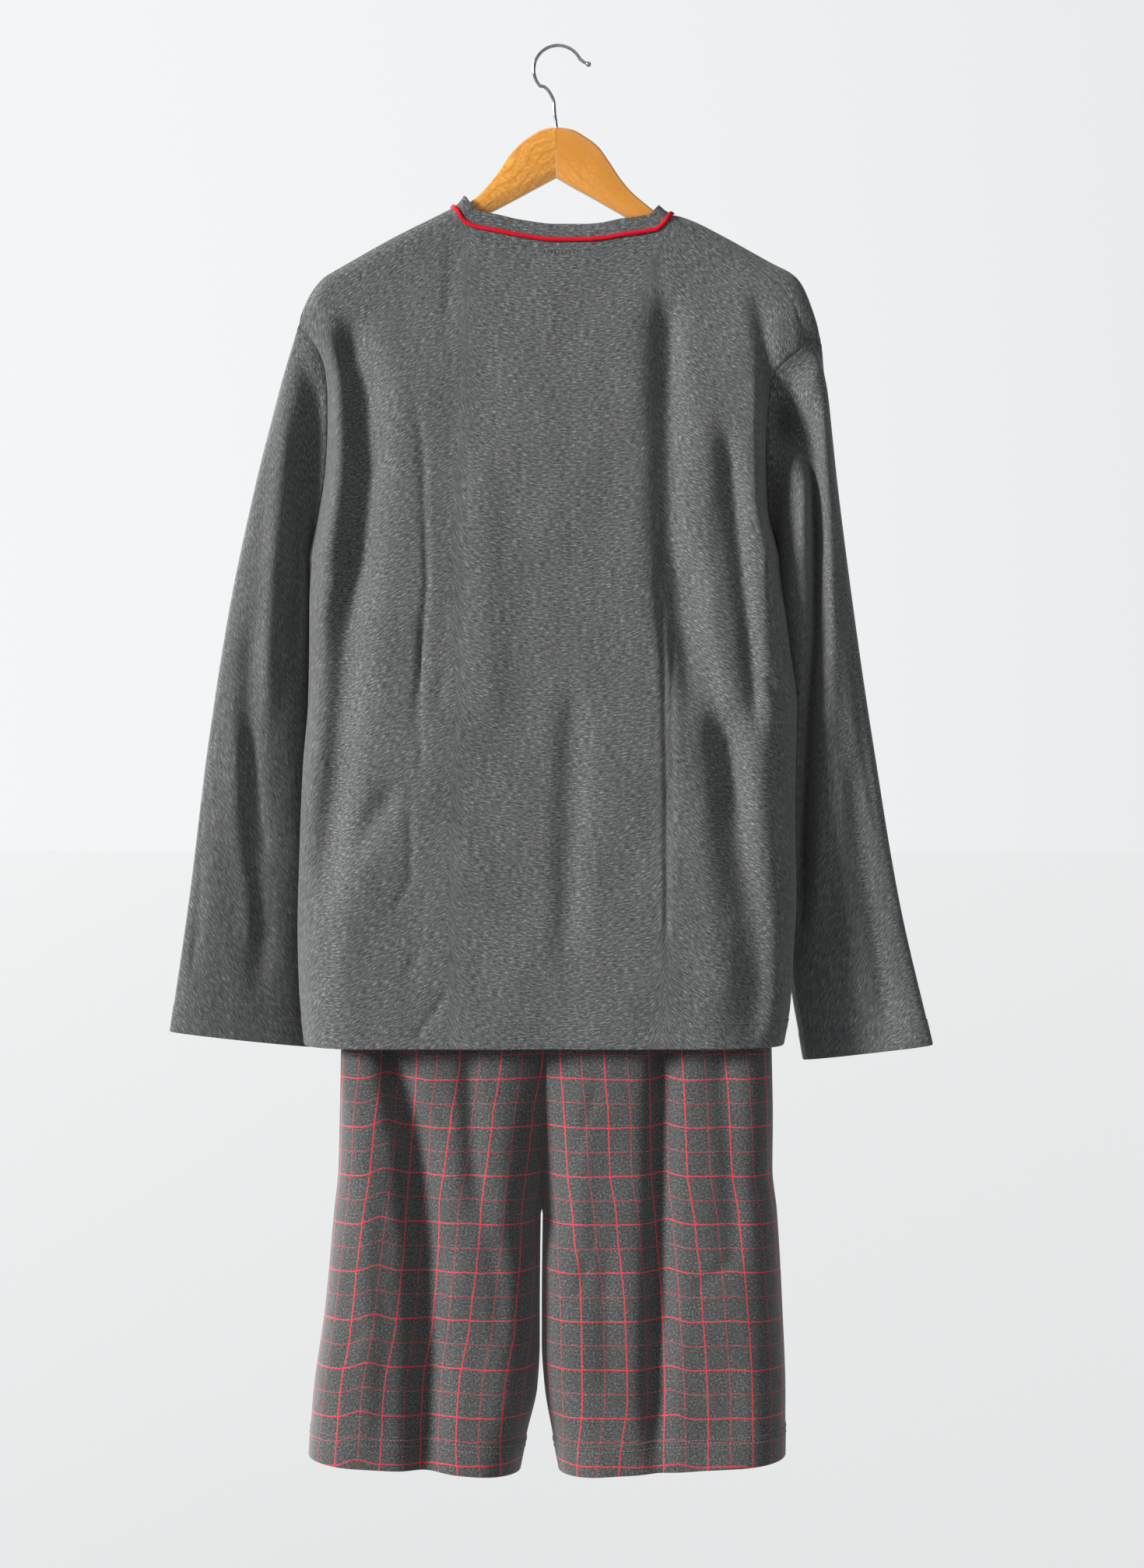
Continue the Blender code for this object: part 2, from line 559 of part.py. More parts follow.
def shorts_panel(leg, face, folds):
    """Grid of one quarter of the shorts, from the leg hem up, columns from -X to +X.

    leg is -1 for the left and +1 for the right, face is -1 for the back and +1 for the front."""
    outer_name = "left" if leg < 0 else "right"
    face_name = "back" if face < 0 else "front"
    z = np.concatenate([
        np.linspace(LEG_HEM_Z, CROTCH_Z, LEG_ROWS + 1)[:-1],
        np.linspace(CROTCH_Z, WAIST_Z, BODY_ROWS + 1),
    ])[:, None]
    column = {name: follow(SHORTS["z"], SHORTS[name], z) for name in SHORTS}
    outer_x = column[outer_name]
    below = z < CROTCH_Z - 1e-6
    spread = np.where(below, follow(INSEAM_SPREAD["z"], INSEAM_SPREAD[outer_name], z), 0)
    inner_x = column["middle"] + leg * spread
    rise_y = np.where(below, INSEAM_Y, face * column[face_name + "_rise"])
    rise_y = np.where(np.isclose(z, CROTCH_Z), INSEAM_Y, rise_y)
    even = np.linspace(0, 1, LEG_COLUMNS + 1)
    inward = (1 - np.cos(math.pi * even)) / 2 * 0.6 + even * 0.4
    x = outer_x + (inner_x - outer_x) * inward
    width = np.abs(inner_x - outer_x)
    openness = smooth((z - CROTCH_Z + RISE_BLEND) / RISE_BLEND) * RISE_OPEN
    fullness = roll(inward * width, OUTSEAM_ROLL, 0) * roll((1 - inward) * width, INSEAM_ROLL, openness)
    seam_y = OUTSEAM_Y + (rise_y - OUTSEAM_Y) * inward
    depth = column[face_name] - folds_at(x, z, folds)
    near_waist = smooth((z - WAIST_Z + GATHERS_REACH) / GATHERS_REACH)
    gathers = np.sin(2 * math.pi * GATHERS_PER_PANEL * inward) * GATHER_DEPTH * near_waist
    y = seam_y * (1 - fullness) + face * (depth + gathers) * fullness
    slant = smooth((CROTCH_Z - z) / LEG_SLANT_RISE) * LEG_HEM_SLANT * (inward - LEG_SLANT_PIVOT)
    grid = np.stack([x, y, z - slant], axis=-1)
    return grid if leg < 0 else grid[:, ::-1]


# ---------------------------------------------------------------- from grids to walls

def shared_normals(grids, forks):
    """Outward normals of every grid, shared where pieces are sewn, and longer on a sharp seam.

    A wall moved along them keeps its thickness up to the seam, where both walls are mitred.  forks
    are points where three or four pieces meet, each with the way out of the garment there."""
    own = {}
    sums = {}
    keys = {}
    for name, grid in grids.items():
        across = grid[1:, 1:] - grid[:-1, :-1]
        up = grid[1:, :-1] - grid[:-1, 1:]
        faces = np.cross(across, up)
        total = np.zeros_like(grid)
        for rows in (slice(None, -1), slice(1, None)):
            for columns in (slice(None, -1), slice(1, None)):
                total[rows, columns] += faces
        own[name] = total / np.linalg.norm(total, axis=-1, keepdims=True)
        keys[name] = [[tuple(point) for point in row] for row in np.round(grid, 5).tolist()]
        for key_row, normal_row in zip(keys[name], own[name]):
            for key, normal in zip(key_row, normal_row):
                sums[key] = sums.get(key, 0) + normal
    shared = {key: value / np.linalg.norm(value) for key, value in sums.items()}
    leaning = {key: 1.0 for key in shared}
    for name in grids:
        for key_row, normal_row in zip(keys[name], own[name]):
            for key, normal in zip(key_row, normal_row):
                leaning[key] = min(leaning[key], float(normal @ shared[key]))
    stretch = {key: 1 / max(value, MITRE_LIMIT) for key, value in leaning.items()}
    for point, way in forks:
        key = tuple(np.round(point, 5).tolist())
        shared[key] = np.array(way) / np.linalg.norm(way)
        stretch[key] = 1
    return {name: np.array([[shared[key] * stretch[key] for key in row] for row in keys[name]])
            for name in grids}


def pulled_in(grid, sides):
    """The grid with its sewn sides drawn back by half the seam gap."""
    grid = grid.copy()
    edges = {
        "top": ((-1, slice(None)), (-2, slice(None))),
        "first": ((slice(None), 0), (slice(None), 1)),
        "last": ((slice(None), -1), (slice(None), -2)),
    }
    for side in sides:
        edge, inside = edges[side]
        way = grid[inside] - grid[edge]
        way /= np.linalg.norm(way, axis=-1, keepdims=True)
        grid[edge] = grid[edge] + way * SEAM_GAP / 2
    return grid


def add_object(name, vertices, faces, finish):
    """A named mesh object with its own material."""
    mesh = bpy.data.meshes.new(name)
    mesh.from_pydata([tuple(map(float, vertex)) for vertex in vertices], [], faces)
    mesh.validate()
    mesh.shade_smooth()
    mesh.set_sharp_from_angle(angle=math.radians(SHARP_EDGE))
    item = bpy.data.objects.new(name, mesh)
    bpy.context.scene.collection.objects.link(item)
    colour, roughness, metallic = COLOURS[finish]
    material = bpy.data.materials.new(name + "_" + finish)
    material.use_nodes = True
    shader = material.node_tree.nodes["Principled BSDF"]
    shader.inputs["Base Color"].default_value = (*colour, 1)
    shader.inputs["Roughness"].default_value = roughness
    shader.inputs["Metallic"].default_value = metallic
    mesh.materials.append(material)
    item.parent = set_root
    return item


def wall(name, grid, normals, thickness, finish, closed=False):
    """A cloth wall: the grid moved out and in by half its thickness, with rims all round.

    Both faces of the wall are cut into the same triangles, along each square's shorter diagonal, so
    they stay parallel where the cloth twists."""
    half = (np.asarray(thickness) * 0.5)[..., None]
    vertices = np.concatenate([(grid + normals * half).reshape(-1, 3),
                               (grid - normals * half).reshape(-1, 3)])
    rows, columns = grid.shape[:2]
    inner = rows * columns
    middle = grid.reshape(-1, 3)

    def at(row, column):
        return row * columns + column % columns

    faces = []
    last_column = columns if closed else columns - 1
    for row in range(rows - 1):
        for column in range(last_column):
            a, b = at(row, column), at(row, column + 1)
            c, d = at(row + 1, column + 1), at(row + 1, column)
            rising = np.linalg.norm(middle[c] - middle[a])
            falling = np.linalg.norm(middle[d] - middle[b])
            halves = ((a, b, c), (a, c, d)) if rising < falling else ((a, b, d), (b, c, d))
            for corners in halves:
                faces.append(corners)
                faces.append(tuple(inner + corner for corner in reversed(corners)))
    for column in range(last_column):
        for row, first, second in ((0, column + 1, column), (rows - 1, column, column + 1)):
            a, b = at(row, first), at(row, second)
            faces.append((a, b, inner + b, inner + a))
    if not closed:
        for row in range(rows - 1):
            for column, first, second in ((0, row, row + 1), (columns - 1, row + 1, row)):
                a, b = at(first, column), at(second, column)
                faces.append((a, b, inner + b, inner + a))
    return add_object(name, vertices, faces, finish)


def tube(name, path, radii, sides, finish):
    """A round bar along a path of points, with a radius at each of them."""
    path = np.asarray(path, float)
    count = len(path)
    ahead = np.gradient(path, axis=0)
    ahead /= np.linalg.norm(ahead, axis=1, keepdims=True)
    helper = (0, 0, 1) if abs(ahead[0, 1]) > 0.9 else (0, 1, 0)
    first = np.cross(ahead, helper)
    first /= np.linalg.norm(first, axis=1, keepdims=True)
    second = np.cross(ahead, first)
    wide = np.asarray(radii)[:, None]
    turns = np.linspace(0, 2 * math.pi, sides, endpoint=False)
    rings = [path + wide * (first * math.cos(turn) + second * math.sin(turn)) for turn in turns]
    vertices = np.stack(rings, axis=1).reshape(-1, 3)
    faces = []
    for ring in range(count - 1):
        for side in range(sides):
            beside = (side + 1) % sides
            faces.append((ring * sides + side, ring * sides + beside,
                          (ring + 1) * sides + beside, (ring + 1) * sides + side))
    faces.append(tuple(reversed(range(sides))))
    faces.append(tuple((count - 1) * sides + side for side in range(sides)))
    return add_object(name, vertices, faces, finish)


# ---------------------------------------------------------------- pieces

def cloth_thickness(grid, base, hem_rows):
    """Wall thickness at each point, more on the hem rows."""
    thickness = np.full(grid.shape[:2], base)
    thickness[:hem_rows] += HEM_EXTRA
    return thickness


def with_hem_row(grid):
    """The grid with one more row at the height of the turned-up hem."""
    rise = (grid[1] - grid[0])
    share = HEM_HEIGHT / np.linalg.norm(rise, axis=-1, keepdims=True)
    stitch = grid[0] + rise * np.minimum(share, 0.9)
    return np.concatenate([grid[:1], stitch[None], grid[1:]])


def make_top():
    """Back, front and two sleeves of the top; returns the back's grid and the neck seam."""
    left_back = side_line(LEFT_SIDE, LEFT_ARMHOLE_BACK)
    left_front = side_line(LEFT_SIDE, LEFT_ARMHOLE_FRONT)
    right_back = side_line(RIGHT_SIDE, RIGHT_ARMHOLE_BACK)
    right_front = side_line(RIGHT_SIDE, RIGHT_ARMHOLE_FRONT)
    back = torso_panel(-1, BACK_START, "back", left_back, right_back, BACK_FOLDS)
    front = torso_panel(1, FRONT_START, "front", left_front, right_front, FRONT_FOLDS)
    first, last = SHOULDER_COLUMNS, SHOULDER_COLUMNS + NECK_COLUMNS
    for part in (slice(0, first + 1), slice(last, None)):
        front[-1, part] = back[-1, part]
    arm = slice(SIDE_ROWS, None)
    left_loop = np.concatenate([left_front[arm], left_back[arm][-2::-1]])
    right_loop = np.concatenate([right_back[arm], right_front[arm][-2::-1]])
    grids = {
        "back_panel": with_hem_row(back),
        "front_panel": with_hem_row(front[:, ::-1]),
        "sleeve_left": sleeve(LEFT_SLEEVE, left_loop, 1, LEFT_SLEEVE_FOLDS),
        "sleeve_right": sleeve(RIGHT_SLEEVE, right_loop, -1, RIGHT_SLEEVE_FOLDS),
    }
    forks = [(left_back[SIDE_ROWS], DOWN), (right_back[SIDE_ROWS], DOWN), (left_back[-1], LEFT_AND_UP)]
    normals = shared_normals(grids, forks)
    for name, grid in grids.items():
        thickness = cloth_thickness(grid, JERSEY, 2)
        drawn = pulled_in(grid, ("top", "first", "last"))
        wall(name, drawn, normals[name], thickness, "jersey")
    seam = neck_line(back[-1], front[-1])
    out = neck_line(normals["back_panel"][-1], normals["front_panel"][-1, ::-1])
    return back, seam, out


def make_neckband(seam, out):
    """The neckband above the neck seam, and the red piping over the seam.

    At the two shoulder ends of the seam it lies over the hanger; everywhere else it stands up."""
    out = out / np.linalg.norm(out, axis=1, keepdims=True)
    ahead = np.roll(seam, -1, axis=0) - np.roll(seam, 1, axis=0)
    ahead /= np.linalg.norm(ahead, axis=1, keepdims=True)
    ends = (0, NECK_COLUMNS)
    upright = out * (1, 1, BAND_TILT)
    for end in ends:
        upright[end] = out[end]
    upright /= np.linalg.norm(upright, axis=1, keepdims=True)
    flat_up = np.cross(out, ahead)
    up = np.cross(upright, ahead)
    for _ in range(2):
        up = (np.roll(up, 1, axis=0) + 2 * up + np.roll(up, -1, axis=0)) / 4
    up /= np.linalg.norm(up, axis=1, keepdims=True)
    lean = BAND_LEAN * (1 - smooth((np.abs(seam[:, :1]) - BAND_LEAN_HALF) / BAND_LEAN_FADE))
    rows = []
    for share in (0, 0.5, 1):
        rise = SEAM_GAP + (BAND_HEIGHT - SEAM_GAP) * share
        rows.append(seam + up * rise - out * lean * share ** 2)
    band = np.stack(rows)
    outside = np.sign(seam[:, 1]) * BAND_CLEAR
    for row in band[1:]:
        inside = np.abs(row[:, 1]) < BAND_CLEAR
        inside[list(ends)] = False
        row[inside, 1] = outside[inside]
    band_out = np.stack([out, upright, upright])
    wall("neckband", band, band_out, np.full(band.shape[:2], JERSEY), "jersey", closed=True)
    strip = np.stack([seam - flat_up * PIPING_WIDTH / 2, seam, seam + up * PIPING_WIDTH / 2])
    strip += out * (JERSEY / 2 + PIPING_LIFT + PIPING_DEPTH / 2)
    thickness = np.full(strip.shape[:2], PIPING_DEPTH * PIPING_EDGE)
    thickness[1] = PIPING_DEPTH
    wall("neck_piping", strip, np.repeat(out[None], 3, axis=0), thickness, "piping", closed=True)


def make_shorts():
    """Four leg panels and the waistband."""
    grids = {}
    for face, face_name, folds in ((-1, "back", SHORTS_BACK_FOLDS), (1, "front", SHORTS_FRONT_FOLDS)):
        for leg, leg_name in ((-1, "left"), (1, "right")):
            grid = shorts_panel(leg, face, folds)
            if face > 0:
                grid = grid[:, ::-1]
            grids["shorts_" + face_name + "_" + leg_name] = with_hem_row(grid)
    crotch = grids["shorts_back_left"][LEG_ROWS + 1, -1]
    normals = shared_normals(grids, [(crotch, DOWN)])
    for name, grid in grids.items():
        thickness = cloth_thickness(grid, FLANNEL, 2)
        wall(name, pulled_in(grid, ("top", "first", "last")), normals[name], thickness, "flannel")
    order = ("shorts_back_left", "shorts_back_right", "shorts_front_right", "shorts_front_left")
    ring = np.concatenate([grids[name][-1, :-1] for name in order])
    out = np.concatenate([normals[name][-1, :-1] for name in order])
    out[:, 2] = 0
    out /= np.linalg.norm(out, axis=1, keepdims=True)
    levels = (SEAM_GAP / 2, WAISTBAND_HEIGHT / 2, WAISTBAND_HEIGHT)
    band = np.stack([ring + (0, 0, level) for level in levels])
    thickness = np.full(band.shape[:2], WAISTBAND_WALL)
    wall("waistband", band, np.repeat(out[None], 3, axis=0), thickness, "flannel", closed=True)
    return ring


def arm_sections(shown, hidden):
    """X, top, bottom and depth of one arm's cross-sections, from the joint to its tip."""
    tops = follow(CREST["x"], CREST["z"], hidden["x"]) - hidden["under"]
    top = np.concatenate([shown["top"], tops])
    bottom = np.concatenate([shown["bottom"], tops - hidden["height"]])
    depth = np.concatenate([np.full(len(shown["x"]), WOOD_DEPTH), hidden["depth"]])
    return np.concatenate([shown["x"], hidden["x"]]), top, bottom, depth


def make_arm(name, shown, hidden):
    """One wooden arm, lofted along X with rounded long edges."""
    x, top, bottom, depth = arm_sections(shown, hidden)
    away = np.sign(x[-1])
    x[0] += away * SEAM_GAP / 2
    corners = ((0, 1.0), (0.3, 0.3), (1.0, 0))
    vertices = []
    last = len(x) - 1
    for station in range(last + 1):
        half = depth[station] / 2
        edge = min(WOOD_EDGE, half * 0.8)
        ring = [(-half + across * edge, top[station] - down * edge) for across, down in corners]
        ring += [(-y, z) for y, z in reversed(ring)]
        ring += [(y, top[station] + bottom[station] - z) for y, z in reversed(ring)]
        vertices += [(x[station], y, z) for y, z in ring]
    count = 4 * len(corners)
    faces = []
    for station in range(last):
        for side in range(count):
            beside = (side + 1) % count
            faces.append((station * count + side, station * count + beside,
                          (station + 1) * count + beside, (station + 1) * count + side))
    faces.append(tuple(reversed(range(count))))
    faces.append(tuple(last * count + side for side in range(count)))
    if away > 0:
        faces = [tuple(reversed(face)) for face in faces]
    return add_object(name, vertices, faces, "wood")


def bore(arm, cutter):
    """Cut the wire's hole into an arm."""
    cut = arm.modifiers.new("bore", "BOOLEAN")
    cut.operation = "DIFFERENCE"
    cut.object = cutter


def make_hanger():
    """Two wooden arms glued at the middle, and the wire hook that goes down between them."""
    arms = [make_arm("hanger_arm_left", LEFT_WOOD, LEFT_ARM),
            make_arm("hanger_arm_right", RIGHT_WOOD, RIGHT_ARM)]
    wood_top = LEFT_WOOD["top"][0]
    wire_end = wood_top - SHANK_DEPTH
    hole = [(WOOD_JOINT_X, 0, wire_end - SEAM_GAP), (WOOD_JOINT_X, 0, wood_top + 0.01)]
    cutter = tube("hole_guide", hole, [WIRE_RADIUS + SEAM_GAP] * 2, WIRE_SIDES, "wood")
    cutter.hide_render = True
    cutter.display_type = "WIRE"
    for arm in arms:
        bore(arm, cutter)
    centre_z = WIRE_RADIUS - HOOK_RADIUS
    arc = np.radians(np.linspace(*HOOK_ARC, 22))
    round_part = [(HOOK_RADIUS * math.cos(a), centre_z + HOOK_RADIUS * math.sin(a)) for a in arc]
    shank = [(WOOD_JOINT_X, wire_end), (WOOD_JOINT_X, wood_top), *HOOK_SHANK]
    flat_path = [*shank, *round_part, *HOOK_TIP]
    path = [(x, 0, z) for x, z in flat_path]
    ahead = np.array(HOOK_TIP[-1]) - np.array(HOOK_TIP[-2])
    ahead /= np.linalg.norm(ahead)
    radii = [WIRE_RADIUS] * len(path)
    for turn in np.radians((-40, 0, 40, 75)):
        place = np.array(HOOK_TIP[-1]) + ahead * HOOK_TIP_RADIUS * (1 + math.sin(turn))
        path.append((place[0], 0, place[1]))
        radii.append(HOOK_TIP_RADIUS * math.cos(turn))
    tube("hanger_hook", path, radii, WIRE_SIDES, "chrome")


def surface_y(grid, x, z):
    """Y of a grid's nearest point in front view."""
    flat = grid.reshape(-1, 3)
    near = np.argsort((flat[:, 0] - x) ** 2 + (flat[:, 2] - z) ** 2)[:4]
    weights = 1 / (np.hypot(flat[near, 0] - x, flat[near, 2] - z) + 1e-5)
    return float((flat[near, 1] * weights).sum() / weights.sum())


def make_tacks(back, waist_ring):
    """Nylon tacks that tie the waistband to the inside of the back."""
    for side, name in ((-1, "left"), (1, "right")):
        x = side * TACK_X
        z = WAIST_Z + WAISTBAND_HEIGHT - TACK_DROP
        back_ring = waist_ring[waist_ring[:, 1] < 0]
        ring_y = back_ring[np.argmin(np.abs(back_ring[:, 0] - x)), 1]
        from_y = ring_y - WAISTBAND_WALL / 2 - 3 * SEAM_GAP
        to_y = surface_y(back, x, z) + JERSEY / 2 + 3 * SEAM_GAP
        stops = (from_y, from_y - TACK_PAD_DEPTH, from_y - TACK_PAD_DEPTH * 1.2,
                 to_y + TACK_PAD_DEPTH * 1.2, to_y + TACK_PAD_DEPTH, to_y)
        radii = [TACK_PAD_RADIUS, TACK_PAD_RADIUS, TACK_WIRE_RADIUS,
                 TACK_WIRE_RADIUS, TACK_PAD_RADIUS, TACK_PAD_RADIUS]
        tube("tack_" + name, [(x, y, z) for y in stops], radii, 8, "nylon")


back_grid, neck_seam, neck_out = make_top()
make_neckband(neck_seam, neck_out)
waist = make_shorts()
make_hanger()
make_tacks(back_grid, waist)
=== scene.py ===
import json
import math

import bpy
import numpy as np
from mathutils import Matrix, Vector

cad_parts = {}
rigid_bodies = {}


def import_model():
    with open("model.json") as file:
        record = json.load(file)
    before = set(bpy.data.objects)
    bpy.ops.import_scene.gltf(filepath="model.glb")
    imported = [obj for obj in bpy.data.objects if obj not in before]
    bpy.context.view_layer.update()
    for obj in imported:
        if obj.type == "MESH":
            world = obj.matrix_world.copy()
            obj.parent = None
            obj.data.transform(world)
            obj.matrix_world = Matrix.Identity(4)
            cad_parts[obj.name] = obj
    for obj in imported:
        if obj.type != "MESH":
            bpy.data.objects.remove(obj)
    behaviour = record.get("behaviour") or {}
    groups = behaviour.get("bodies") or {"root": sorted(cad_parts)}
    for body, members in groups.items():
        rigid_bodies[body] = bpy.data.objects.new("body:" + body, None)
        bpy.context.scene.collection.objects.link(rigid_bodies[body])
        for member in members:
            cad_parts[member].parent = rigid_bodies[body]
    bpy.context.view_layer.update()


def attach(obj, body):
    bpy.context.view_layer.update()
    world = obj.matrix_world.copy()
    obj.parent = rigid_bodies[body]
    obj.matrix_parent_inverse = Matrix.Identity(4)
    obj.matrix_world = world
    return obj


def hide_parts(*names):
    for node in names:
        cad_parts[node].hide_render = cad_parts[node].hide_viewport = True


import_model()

# Metres, in the frame's own axes: the set's back looks towards -Y. Tables and folds are in
# millimetres. Folds are rows of (depth, width, lean, ((x, z), ...)): a trough along the points, and
# a ridge where the depth is below 0. Lean makes the side towards +X steeper, below 0 the other one.


# camera, light and floor

viewPlan = {
    "middle": (0.012, 0.0, -0.634),
    "distance": 2.55,
    "frameHeight": 1.349,      # what the frame takes in at the garment, from top to bottom
    "sensorHeight": 24.0,
    "floorHeight": -1.60,
    "floorReach": 40,
    "floorColour": (0.425, 0.432, 0.437),
    "roomColour": (0.975, 0.988, 1.0),
    "roomDim": 0.28,
    "roomBright": 0.95,
    "brightSide": (-0.75, 0.66, 0.0),      # where the pale room is brightest
}
lightPlan = (
    # name, degrees round from behind the camera, degrees up, strength, softness in degrees, colour
    ("keyLight", -61, 16, 8.0, 16, (1.0, 0.99, 0.975)),
    ("fillLight", 18, 35, 0.35, 40, (0.97, 0.985, 1.0)),
    ("frontLight", -138, 18, 3.6, 20, (1.0, 1.0, 1.0)),
)


def setCameraAndLight():
    print("camera and light")
    scene = bpy.context.scene
    cameraData = bpy.data.cameras.new("camera")
    cameraData.sensor_fit = "VERTICAL"
    cameraData.sensor_height = viewPlan["sensorHeight"]
    cameraData.lens = viewPlan["sensorHeight"] * viewPlan["distance"] / viewPlan["frameHeight"]
    camera = bpy.data.objects.new("camera", cameraData)
    camera.location = Vector(viewPlan["middle"]) - Vector((0, viewPlan["distance"], 0))
    camera.rotation_euler = (math.radians(90), 0, 0)
    scene.collection.objects.link(camera)
    scene.camera = camera
    for name, around, up, strength, softness, colour in lightPlan:
        lightData = bpy.data.lights.new(name, "SUN")
        lightData.energy = strength
        lightData.angle = math.radians(softness)
        lightData.color = colour
        light = bpy.data.objects.new(name, lightData)
        around, up = math.radians(around), math.radians(up)
        way = Vector((math.sin(around) * math.cos(up), -math.cos(around) * math.cos(up), math.sin(up)))
        light.rotation_euler = way.to_track_quat("Z", "Y").to_euler()
        scene.collection.objects.link(light)
    room = Finish("paleRoom", bpy.data.worlds.new("paleRoom"))
    way = room.node("ShaderNodeTexCoord", out="Generated")
    sockets = {0: way, 1: viewPlan["brightSide"]}
    towards = room.node("ShaderNodeVectorMath", {"operation": "DOT_PRODUCT"}, sockets, out="Value")
    strength = room.between(towards, -1.0, 1.0, viewPlan["roomDim"], viewPlan["roomBright"])
    room.plug(strength, room.shader.inputs["Strength"])
    room.plug((*viewPlan["roomColour"], 1), room.shader.inputs["Color"])
    scene.world = room.material
    scene.view_settings.view_transform = "Standard"
    mesh = bpy.data.meshes.new("floor")
    reach = viewPlan["floorReach"]
    corners = [(-reach, -reach, 0), (reach, -reach, 0), (reach, reach, 0), (-reach, reach, 0)]
    mesh.from_pydata(corners, [], [(0, 1, 2, 3)])
    floor = bpy.data.objects.new("floor", mesh)
    floor.location = (0, 0, viewPlan["floorHeight"])
    scene.collection.objects.link(floor)
    finish = Finish("paleFloor")
    mesh.materials.append(finish.set(baseColor=viewPlan["floorColour"], roughness=0.9))


# shader maths

class Value:
    # a socket inside a material, so that shader maths reads as sums

    def __init__(self, finish, socket):
        self.finish = finish
        self.socket = socket

    def maths(self, operation, first, second):
        return self.finish.node("ShaderNodeMath", {"operation": operation}, {0: first, 1: second})

    def __add__(self, other):
        return self.maths("ADD", self, other)

    def __radd__(self, other):
        return self.maths("ADD", other, self)

    def __sub__(self, other):
        return self.maths("SUBTRACT", self, other)

    def __rsub__(self, other):
        return self.maths("SUBTRACT", other, self)

    def __mul__(self, other):
        return self.maths("MULTIPLY", self, other)

    def __rmul__(self, other):
        return self.maths("MULTIPLY", other, self)

    def __truediv__(self, other):
        return self.maths("DIVIDE", self, other)

    def __rtruediv__(self, other):
        return self.maths("DIVIDE", other, self)


class Finish:
    # one material

    def __init__(self, name, world=None):
        self.material = world or bpy.data.materials.new(name)
        self.material.use_nodes = True
        self.tree = self.material.node_tree
        self.shader = self.tree.nodes["Background" if world else "Principled BSDF"]

    def node(self, nodeType, settings=None, sockets=None, out=0):
        # settings first, because some of them change which sockets there are
        added = self.tree.nodes.new(nodeType)
        for name, value in (settings or {}).items():
            setattr(added, name, value)
        for name, value in (sockets or {}).items():
            self.plug(value, added.inputs[name])
        return Value(self, added.outputs[out])

    def plug(self, value, socket):
        if isinstance(value, Value):
            self.tree.links.new(value.socket, socket)
        else:
            socket.default_value = value

    def objectPlace(self):
        return self.node("ShaderNodeTexCoord", out="Object")

    def along(self, vector, axis):
        return self.node("ShaderNodeSeparateXYZ", None, {0: vector}, out=axis)

    def clothPlace(self, acrossScale=1.0, downScale=1.0):
        # metres across and down the flat cloth, stretched by the two scales
        place = self.node("ShaderNodeUVMap", {"uv_map": "cloth"}, out="UV")
        sockets = {0: place, 1: (acrossScale, downScale, 1)}
        return self.node("ShaderNodeVectorMath", {"operation": "MULTIPLY"}, sockets)

    def noise(self, place, detail=2.0, roughness=0.5, scale=1.0):
        sockets = {"Vector": place, "Scale": scale, "Detail": detail, "Roughness": roughness}
        return self.node("ShaderNodeTexNoise", None, sockets, out="Fac")

    def between(self, value, low, high, lowTo=0.0, highTo=1.0):
        # value from low..high to lowTo..highTo, softly clamped
        sockets = {"Value": value, "From Min": low, "From Max": high, "To Min": lowTo, "To Max": highTo}
        return self.node("ShaderNodeMapRange", {"interpolation_type": "SMOOTHSTEP"}, sockets)

    def blend(self, share, first, second, way="MIX"):
        first = (*first, 1) if isinstance(first, tuple) else first
        second = (*second, 1) if isinstance(second, tuple) else second
        settings = {"data_type": "RGBA", "blend_type": way}
        return self.node("ShaderNodeMix", settings, {0: share, 6: first, 7: second}, out=2)

    def bump(self, height, distance, strength=1.0, under=None):
        sockets = {"Height": height, "Distance": distance, "Strength": strength}
        if under is not None:
            sockets["Normal"] = under
        return self.node("ShaderNodeBump", None, sockets)

    def set(self, **sockets):
        # set(baseColor=..., roughness=...) on the shader itself
        names = {"baseColor": "Base Color", "roughness": "Roughness", "metallic": "Metallic",
                 "normal": "Normal", "coat": "Coat Weight", "coatRoughness": "Coat Roughness",
                 "sheen": "Sheen Weight", "sheenRoughness": "Sheen Roughness",
                 "specular": "Specular IOR Level"}
        for name, value in sockets.items():
            value = (*value, 1) if isinstance(value, tuple) else value
            self.plug(value, self.shader.inputs[names[name]])
        return self.material


jerseyLook = {
    "dark": (0.0090, 0.0094, 0.0097),
    "middle": (0.0530, 0.0545, 0.0555),
    "light": (0.300, 0.303, 0.303),
    "fleckAcross": 0.0046,     # length of a fleck of fibre along the knitted rows
    "fleckDown": 0.0013,
    "waleWidth": 0.0012,
    "rowHeight": 0.0009,
    "roughness": 0.95,
    "specular": 0.25,
    "sheen": 0.12,
}
flannelLook = {
    "dark": (0.0070, 0.0070, 0.0073),
    "middle": (0.0370, 0.0370, 0.0378),
    "light": (0.200, 0.200, 0.200),
    "line": (0.56, 0.014, 0.030),
    "pitchAcross": 0.0190,
    "pitchDown": 0.0205,
    "lineWidth": 0.0010,
    "weakLine": 0.34,          # strength of every other line
    "weavePitch": 0.0011,
    "roughness": 0.96,
    "specular": 0.2,
    "sheen": 0.25,
}


